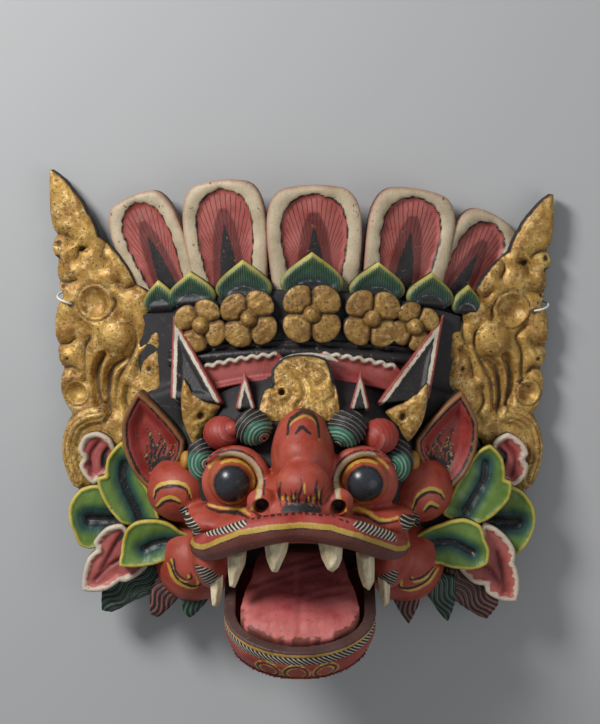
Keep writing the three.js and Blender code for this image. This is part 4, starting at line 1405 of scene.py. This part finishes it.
lip_paint = painted("lip_paint", RED, [
    (BLACK, "hatch", 0.4),
    (WHITE, "hatch", 0.4, "across", 3.1, 0.42),
    (BLACK, "dashes", 0.2, "beat", 5.0, 0.6),
    (srgb(108, 56, 46), "under", 0.8),
    (srgb(184, 150, 62), "edge", 0.3),
    (BLACK, "edge_line", 0.2),
], chips=0.4)
store(mesh,
      hatch=strokes(xy, LIP_HATCHES, 3.6, 0.6), across=0.6 * xy[:, 0] * np.sign(-xy[:, 0]) + xy[:, 1],
      dashes=np.abs(above - 7.2) - 0.5 + 3 * (np.abs(xy[:, 0]) > 36), beat=xy[:, 0],
      under=above, edge=np.abs(above) - 2.0, edge_line=np.abs(above + 2.6) - 0.4)
finish("upper_lip", mesh, AS_MADE, lip_paint)

# %% [markdown]
# Ears
#
# The ears stand out behind the cheeks, flat and pointed. A brown rim and a black line run round a red
# bowl, with a patch of quick black strokes and gold specks at its foot.

# %% Ears
EAR_OUTLINE = [(-21, 75), (-34, 50), (-33, 28), (-24, 8), (-14, -2), (-4, -2), (14, 24), (16, 36), (-2, 58)]
EAR_SCRIBBLES = [
    [(-14, 6), (-12, 30), (-17, 48)], [(-8, 8), (-9, 26), (-4, 36), (-9, 44)],
    [(-3, 14), (-2, 26), (3, 33)], [(2, 18), (4, 28), (8, 34)], [(-12, 12), (-16, 22), (-15, 32)],
    [(-6, 4), (0, 14), (8, 24)],
]
SCRIBBLE_STEP = np.array((2.6, -3.4))
ear_paint = painted("ear_paint", srgb(134, 86, 48), [
    (srgb(146, 48, 42), "bowl", 0.4),
    (BLACK, "scribble", 0.5),
    (srgb(176, 150, 84), "specks", 0.3),
    (BLACK, "bowl_line", 0.2),
    (BLACK, "upper_edge", 0.5),
    (srgb(44, 34, 30), "side", 1.0),
], chips=0.4)
knob_paint = painted("knob_paint", srgb(184, 136, 56), [], chips=0.3)


def ear_piece(name, side):
    outline = lobed([(-side * x, y) for x, y in EAR_OUTLINE], 0.06)
    scribbles = [[(-side * x, y) for x, y in line + shift] for line in map(np.array, EAR_SCRIBBLES)
                 for shift in (0 * SCRIBBLE_STEP, SCRIBBLE_STEP)]

    def relief(xy, depth):
        return (1.4 * ridge(depth, 2.2, 1.8) - 1.0 - 8.5 * smooth_step(depth, 3.4, 14)
                - 1.2 * ridge(depth, 4.2, 0.8))

    mesh, xy, depth, z = carve(outline, 20, 0.9, relief)
    scribble = strokes(xy, scribbles, 1.1, 0.9)
    low = depth_inside(xy, [(-side * x, y) for x, y in ((-14, -2), (-13, 18), (-4, 24), (8, 26), (2, 6))])
    scribble = np.minimum(scribble, 1.5 - low)
    inner_side = -side * xy[:, 0]
    store(mesh,
          bowl=4.2 - depth, bowl_line=np.abs(depth - 4.2) - 0.8,
          scribble=np.where(depth > 6, scribble + uneven(xy, 3, 0.6, 9), FAR),
          specks=np.where(depth > 7, np.abs(scribble + 0.2 + uneven(xy, 4, 1.4, 11)) - 0.12, FAR),
          upper_edge=np.maximum(-(xy[:, 1] + inner_side - 61), depth - 3.2),
          side=z - 14)
    finish(f"ear_{name}", mesh, pose((side * 104, -96, 40), turn=side * 0.12), ear_paint)
    clay = bmesh.new()
    add_ball(clay, (side * 89, -75, 63), (5, 8, 9), 24)
    finish(f"ear_knob_{name}", skin(clay, 0.9), AS_MADE, knob_paint)


for name, side in SIDES:
    ear_piece(name, side)

# %% [markdown]
# Leaves beside the jaw
#
# Three green leaves on each side overlap two pink ones. Every leaf is a board with a raised edge, dark
# sides and a hollow along its rib. The paint runs from a yellow edge through green to a black rib.

# %% Leaves beside the jaw
GREEN_LEAVES = {
    "upright_left": (42, [
        (-140, -61), (-152.2, -75), (-153.5, -89), (-160.5, -90.5), (-156.8, -106.1), (-141.9, -126.8),
        (-128.6, -130), (-110.5, -126.5), (-119, -101), (-124.8, -92),
    ], [(-139, -79.3), (-140.3, -90.2), (-136.8, -102.4), (-130.9, -114.7), (-127, -125)]),
    "upright_right": (42, [
        (150, -64), (140.6, -69), (130, -85.3), (120.5, -101.1), (112.5, -120), (130.4, -129),
        (147.2, -125.4), (165.1, -108.5), (167.4, -94), (161.9, -92), (160, -75),
    ], [(146.7, -79.2), (145.6, -90.2), (141, -101.1), (131, -118)]),
    "level_left": (50, [
        (-137.6, -131.4), (-130.4, -124.7), (-116, -122.7), (-105.2, -124.5), (-94.8, -131.6), (-82, -139),
        (-80, -152.2), (-97, -152.5), (-109, -156.6), (-121.1, -159.9), (-143, -160), (-141.2, -149.7),
    ], [(-123.3, -146.8), (-114.1, -142.2), (-102.1, -140.7), (-90.1, -143.9), (-80.5, -147.4)]),
    "level_right": (50, [
        (94, -134), (113, -125.2), (129.7, -121.8), (142.7, -127.6), (146, -138.6), (149.6, -147.2),
        (148.1, -158.2), (139.7, -162.3), (127.7, -162.5), (110.8, -158.2), (86, -153), (84, -143.5),
    ], [(86, -147), (98, -144), (110, -141.4), (122, -142), (136, -149)]),
    "back_left": (28, [
        (-160, -99), (-174.7, -102), (-183.1, -112.8), (-184.9, -124.2), (-181, -136.6), (-176.3, -148),
        (-168, -151), (-154, -146), (-140, -128),
    ], [(-168.7, -127), (-160, -127.3), (-150, -127.5), (-140.6, -127.9)]),
    "back_right": (28, [
        (162, -98), (176, -103), (186.6, -116.2), (188, -130.8), (182.7, -145.4), (173.5, -155.8),
        (160, -148), (146, -130),
    ], [(173.7, -130), (165, -129.6), (155, -129.2), (146, -128.9)]),
}
LEAF_THICKNESS = 12
leaf_paint = painted("leaf_paint", srgb(196, 176, 72), [
    (GREEN, "green", 0.6),
    (srgb(100, 130, 56), "lime", 1.8),
    (BLUE_GREEN, "blue", 3.0),
    (srgb(26, 32, 34), "rib", 0.9),
    (srgb(84, 92, 90), "shine", 0.2),
    (DARK_SIDE, "side", 0.8),
], roughness=0.42, chips=0.3)


def green_leaf(name, z, outline, rib):
    back = "back" in name

    def relief(xy, depth):
        along_rib = stroke(xy, rib, 0.5, 0.2)
        return (1.4 * ridge(depth, 1.6, 1.6) - 1.2 - 3.0 * smooth_step(-along_rib, -13, -1)
                - 1.8 * smooth_step(-along_rib, -3.4, -0.4) + uneven(xy, 26, 0.6, 6))

    mesh, xy, depth, height = carve(lobed(outline, 0.1), LEAF_THICKNESS, 1.0, relief)
    to_rib = stroke(xy, rib, 0.5, 0.2)
    store(mesh, green=2.7 - depth, lime=np.maximum(6.0 - to_rib, 2.9 - depth),
          blue=to_rib - (11 if back else 7.2),
          rib=to_rib - (5.4 if back else 2.7), shine=np.abs(to_rib - 1.2) - 0.15,
          side=height - LEAF_THICKNESS + 3)
    finish(f"leaf_{name}", mesh, Matrix.Translation((0, 0, z)), leaf_paint)


for leaf_name, (z, outline, rib) in GREEN_LEAVES.items():
    green_leaf(leaf_name, z, outline, rib)

PINK_LEAVES = {
    "pink_left": (38, [
        (-140.1, -128.6), (-153.5, -131.3), (-164.3, -143.4), (-161.3, -149.3), (-169.3, -156.8),
        (-173.6, -182.5), (-156.4, -182.9), (-143.8, -174.9), (-137.9, -175.6), (-120.2, -162),
        (-128, -150),
    ], [[(-163, -174), (-153.8, -164.2), (-144, -158)], [(-158, -166), (-148, -148), (-141, -137)]]),
    "pink_right": (38, [
        (145, -127), (160.1, -134.7), (171, -149.2), (170.5, -160.4), (174.5, -172), (172.6, -191.5),
        (158.3, -190), (148.5, -184.2), (147.2, -178.1), (138.7, -177), (126, -164), (140, -150),
    ], [[(163, -184), (160, -168), (156, -152)], [(160, -178), (150, -166), (140, -160)]]),
    "curl_left": (26, [
        (-165, -99), (-173.4, -90.2), (-176.2, -82.8), (-172.6, -78), (-176.6, -70.5), (-171.8, -59.4),
        (-161.1, -56.5), (-150.7, -62.1), (-146, -74), (-152, -90),
    ], [[(-166, -90), (-167, -76), (-160, -65)], [(-157, -86), (-156, -76), (-153, -70)]]),
    "curl_right": (26, [
        (153.7, -64.5), (165.5, -57.3), (177.3, -64.7), (182.1, -74.1), (178, -79), (182.2, -82.7),
        (179.9, -92.6), (170.7, -100.4), (158, -92), (152, -76),
    ], [[(168, -92), (172, -78), (163, -65)], [(160, -86), (163, -76), (158, -70)]]),
}
pink_paint = painted("pink_leaf_paint", srgb(206, 188, 168), [
    (PINK, "pink", 0.5),
    (srgb(150, 62, 60), "deep", 2.2),
    (srgb(70, 34, 36), "crease", 0.7),
    (BLACK, "heart", 1.0),
    (srgb(52, 40, 38), "side", 0.8),
], chips=0.5)
for leaf_name, (z, outline, creases) in PINK_LEAVES.items():
    def relief(xy, depth, creases=creases):
        lines = strokes(xy, creases, 0.6, 0.3)
        return (1.3 * ridge(depth, 2, 2) - 1.1 - 1.6 * smooth_step(depth, 3.5, 6)
                - 1.8 * cut(lines, 1.2))

    mesh, xy, depth, height = carve(lobed(outline, 0.12), LEAF_THICKNESS, 1.0, relief)
    lines = strokes(xy, creases, 0.6, 0.3)
    border = depth + 0.9 * np.sin(0.55 * (xy[:, 0] - xy[:, 1])) + 0.6 * np.sin(1.3 * xy[:, 1])
    heart = strokes(xy, creases[1:], 2.6, 0.6) if "curl" in leaf_name else np.full(len(xy), FAR)
    store(mesh, pink=4.2 - border, deep=np.maximum(lines - 3.0, 4.5 - depth), crease=lines, heart=heart,
          side=height - LEAF_THICKNESS + 4)
    finish(f"leaf_{leaf_name}", mesh, Matrix.Translation((0, 0, z)), pink_paint)

# %% [markdown]
# Hair tufts
#
# Under the leaves the hair ends in pointed tufts with wavy strands. The strands are stripes across a
# direction that waves along the tuft, and the same value cuts their grooves.

# %% Hair tufts
TUFTS = {
    "outer_left": (24, "green", (-0.8, -0.6), [
        (-140, -165), (-112, -163), (-104, -172), (-116, -186), (-134, -194), (-151, -203), (-159.5, -202),
        (-159, -184),
    ]),
    "middle_left": (34, "brown", (-0.5, -0.87), [
        (-113, -170), (-98, -168), (-94, -180), (-97, -189), (-113, -205), (-119.5, -203), (-119.5, -185),
    ]),
    "inner_left": (40, "green", (0.1, -1.0), [
        (-95, -174), (-80, -174), (-73, -189), (-87, -204), (-92.5, -201),
    ]),
    "outer_right": (24, "brown", (0.6, -0.8), [
        (140, -168), (122, -165), (112, -172), (118, -188), (138, -203), (150, -209), (160, -196),
        (156, -183),
    ]),
    "middle_right": (34, "green", (0.4, -0.9), [
        (124, -172), (104, -168), (94, -178), (104, -190), (118, -209), (124, -192),
    ]),
    "inner_right": (40, "brown", (0.2, -1.0), [
        (95, -176), (80, -176), (74, -189), (86.5, -209), (95, -192),
    ]),
}
STRAND_PERIOD = 4.2
tuft_paints = {
    kind: painted(f"{kind}_hair_paint", BLACK, [
        (ground, None, 0.5, "strand", STRAND_PERIOD, 0.5),
        (GREY, "lit", 6.0, "strand", STRAND_PERIOD / 2, 0.16),
        (light, "tip", 5.0, "strand", STRAND_PERIOD, 0.24),
    ], chips=0.2)
    for kind, ground, light in (("green", srgb(42, 84, 64), srgb(84, 128, 104)),
                                ("brown", srgb(116, 62, 56), srgb(164, 112, 100)))
}
for tuft_name, (z, kind, flow, outline) in TUFTS.items():
    flow = np.array(flow)

    def strand_of(xy, flow=flow):
        along = xy @ flow
        return xy @ np.array((-flow[1], flow[0])) + 2.4 * np.sin(0.24 * along)

    def relief(xy, depth):
        strands = np.cos(2 * math.pi * strand_of(xy) / STRAND_PERIOD)
        return -1.5 + 1.5 * smooth_step(depth, 0, 4) - 0.8 * strands

    mesh, xy, _, _ = carve(lobed(outline, 0.06), 14, 0.9, relief)
    start = max(np.array(outline) @ flow) - 22
    store(mesh, strand=strand_of(xy), lit=xy @ flow - start)
    finish(f"tuft_{tuft_name}", mesh, Matrix.Translation((0, 0, z)), tuft_paints[kind])

# %% [markdown]
# Lower jaw and tongue
#
# The jaw is a trough, open at the top, that hangs forward and down. Its rim is purple-brown, then come
# a yellow line, a rope of black and white strokes, and the red chin. It is made lying flat, with x
# across, y forwards and z down, and is leaned open at the end. The tongue fills it.

# %% Lower jaw and tongue
JAW_FRONT = 0.85
TONGUE_GAP = 5
TONGUE_RISE = 3
ROPE_HEIGHT, LINE_HEIGHT = 8.4, 3.2


def jaw_outline(half, length):
    turn = np.linspace(0, math.pi, 28)
    front = JAW_FRONT * half
    arch = np.stack((half * np.cos(turn), length - front + front * np.sin(turn)), 1)
    return counter_clockwise(np.concatenate(([(-half, 0), (half, 0)], arch)))


jaw_plan = jaw_outline(JAW_HALF_WIDTH, JAW_LENGTH)
scoop = board(jaw_outline(JAW_HALF_WIDTH - JAW_WALL, JAW_LENGTH - JAW_WALL), JAW_HEIGHT)
bmesh.ops.translate(scoop, verts=scoop.verts, vec=(0, 0, -1.5 * JAW_WALL))
mesh = skin(board(jaw_plan, JAW_HEIGHT), 1.1, 4, scoop)
co = places(mesh)
xy = co[:, :2].copy()
depth = depth_inside(xy, jaw_plan)
_, around = line_distance(xy, jaw_plan, closed=True)
outer = depth < 4
height = co[:, 2].copy()
pull = np.clip((height - 13) / (JAW_HEIGHT - 13), 0, 1) ** 1.5 * outer
centre = np.array((0, 58))
co[:, :2] -= (xy - centre) / np.linalg.norm(xy - centre, axis=1)[:, None] * (6.5 * pull)[:, None]
groove = ridge(height, 11.5, 0.9) + ridge(height, 4.6, 0.8)
co[:, :2] -= (xy - centre) / np.linalg.norm(xy - centre, axis=1)[:, None] * (0.9 * groove * outer)[:, None]
move(mesh, co)
jaw_paint = painted("jaw_paint", srgb(158, 58, 46), [
    (BLACK, "spiral", 0.3),
    (YELLOW, "spiral_yellow", 0.3),
    (BLACK, "rope", 0.3),
    (WHITE, "rope", 0.3, "twist", 3.8, 0.36),
    (YELLOW, "lip_line", 0.3),
    (PURPLE_BROWN, "rim", 0.5),
    (srgb(150, 56, 50), "inside", 1.0),
], chips=0.5)
CHIN_RINGS = [(-25, 22, 8), (-3, 22.5, 9), (20, 22, 8)]
chin = np.stack((xy[:, 0], height), 1)
to_ring = np.min([np.abs(np.hypot(*(chin - (x, h)).T) - radius) for x, h, radius in CHIN_RINGS], axis=0)
on_chin = (xy[:, 1] > 70) & outer
store(mesh,
      spiral=np.where(on_chin, to_ring - 0.8, FAR),
      spiral_yellow=np.where(on_chin, np.abs(to_ring - 1.8) - 0.6, FAR),
      rope=np.where(outer, np.abs(height - ROPE_HEIGHT) - 3.4, FAR), twist=around + 1.2 * height,
      lip_line=np.where(outer, np.abs(height - LINE_HEIGHT) - 1.4, FAR),
      rim=np.where(outer, height - 1.8, height - 9),
      inside=np.where(outer, FAR, 5 - height))
finish("jaw", mesh, JAW_POSE, jaw_paint, "lower_jaw")

half, length = JAW_HALF_WIDTH - JAW_WALL - TONGUE_GAP, JAW_LENGTH - JAW_WALL - TONGUE_GAP
TONGUE_HALF = [(-0.72, 0), (-0.86, 0.3), (-1, 0.55), (-1.02, 0.76), (-0.92, 0.88), (-0.58, 0.965), (0, 1)]
tongue_plan = [(half * x, length * y) for x, y in TONGUE_HALF + [(-x, y) for x, y in TONGUE_HALF[-2::-1]]]
tongue_plan = lobed(tongue_plan, 0.07)
tongue_thickness = JAW_HEIGHT - JAW_WALL + TONGUE_RISE
mesh = skin(board(tongue_plan, tongue_thickness), 1.1, 4)
co = places(mesh)
xy = co[:, :2].copy()
depth = depth_inside(xy, tongue_plan)
top = smooth_step(-co[:, 2], -0.7 * tongue_thickness, -0.1 * tongue_thickness)
furrow = ridge(xy[:, 0], 0, 3.5) * smooth_step(xy[:, 1], 10, 40)
co[:, 2] += top * (2.0 * smooth_step(-depth, -9, 0) + 1.2 * furrow + uneven(xy, 18, 0.5, 12) - 3.5
                   - 2.5 * smooth_step(xy[:, 1], 40, 85) + 3.5 * (xy[:, 0] / half) ** 2
                   + 7.0 * smooth_step(xy[:, 1], 0.86 * length, 1.02 * length))
move(mesh, co)
# Painted shade: the tongue is darker towards its middle and on its sides below the top.
tongue_paint = painted("tongue_paint", TONGUE, [
    (srgb(186, 86, 88), "middle", 12.0),
    (srgb(150, 66, 66), "side", 2.0),
    (srgb(120, 60, 50), "chip", 0.4),
], roughness=0.55, chips=0.7)
ragged = np.maximum(depth - 2.6 + uneven(xy, 7, 1.2, 14), 70 - xy[:, 1])
store(mesh, middle=14 - depth, side=-(co[:, 2] - 5), chip=np.maximum(ragged, uneven(xy, 30, 2, 15) - 0.4))
finish("tongue", mesh, JAW_POSE @ Matrix.Translation((0, 0, -TONGUE_RISE)), tongue_paint,
       "lower_jaw")

# %% [markdown]
# Teeth
#
# Six teeth hang from the roof of the mouth, three on each side. Each is cut from a small board with a
# chipped outline that ends in a worn point. Its front falls away to the edges, and grain runs down it.

# %% Teeth
TEETH = {
    "fang_left": (153, 13, [
        (-26.5, -115), (-8, -115), (-9.5, -126), (-13.6, -135.5), (-16.6, -142), (-21, -141.5), (-25, -131),
    ]),
    "fang_right": (153, 13, [
        (12.5, -115), (31.5, -115), (31, -132), (28.5, -138), (24.2, -142), (20.4, -140), (15.8, -131),
    ]),
    "canine_left": (131, 13, [
        (-54.5, -130), (-40, -130), (-41, -140), (-45.2, -150), (-49, -159), (-53, -157.7),
    ]),
    "canine_right": (131, 13, [
        (42, -131), (55.5, -131), (55.8, -154), (52, -161), (47.5, -158), (44, -148),
    ]),
    "tusk_left": (103, 11, [
        (-69, -151), (-59.5, -151), (-59, -163), (-60, -173), (-63, -181), (-67.5, -180),
    ]),
    "tusk_right": (103, 11, [(59.5, -151), (69, -151), (68.5, -178), (64, -181), (61, -172)]),
}
tooth_paint, tree, shader = fresh("tooth_paint")
grain = noise(tree, 200, 4, 0.6, (1, 0.14, 1))
cream = mixed(tree, between(tree, grain, 0.35, 0.7), srgb(176, 156, 116), srgb(226, 212, 180))
stain = between(tree, noise(tree, 120, 4, 0.6), 0.6, 0.75)
cream = mixed(tree, maths(tree, "MULTIPLY", stain, 0.5), cream, srgb(130, 100, 66))
coat(tree, shader, cream, 0.55, grain, 0.5)
for name, (z, thickness, outline) in TEETH.items():
    mesh, _, _, _ = carve(lobed(outline, 0.03), thickness, 0.7,
                          lambda xy, depth: -4.5 * (1 - smooth_step(depth, 0, 5)) + uneven(xy, 9, 0.4, 16))
    finish(f"{name}_carved", mesh, Matrix.Translation((0, 0, z)), tooth_paint, name)

# %% [markdown]
# Size
#
# Each finished piece is clipped to the frame's box. Here the box is printed.

# %% Size
print("cad", [tuple(round(v, 4) for v in corner) for corner in CAD_BOX])
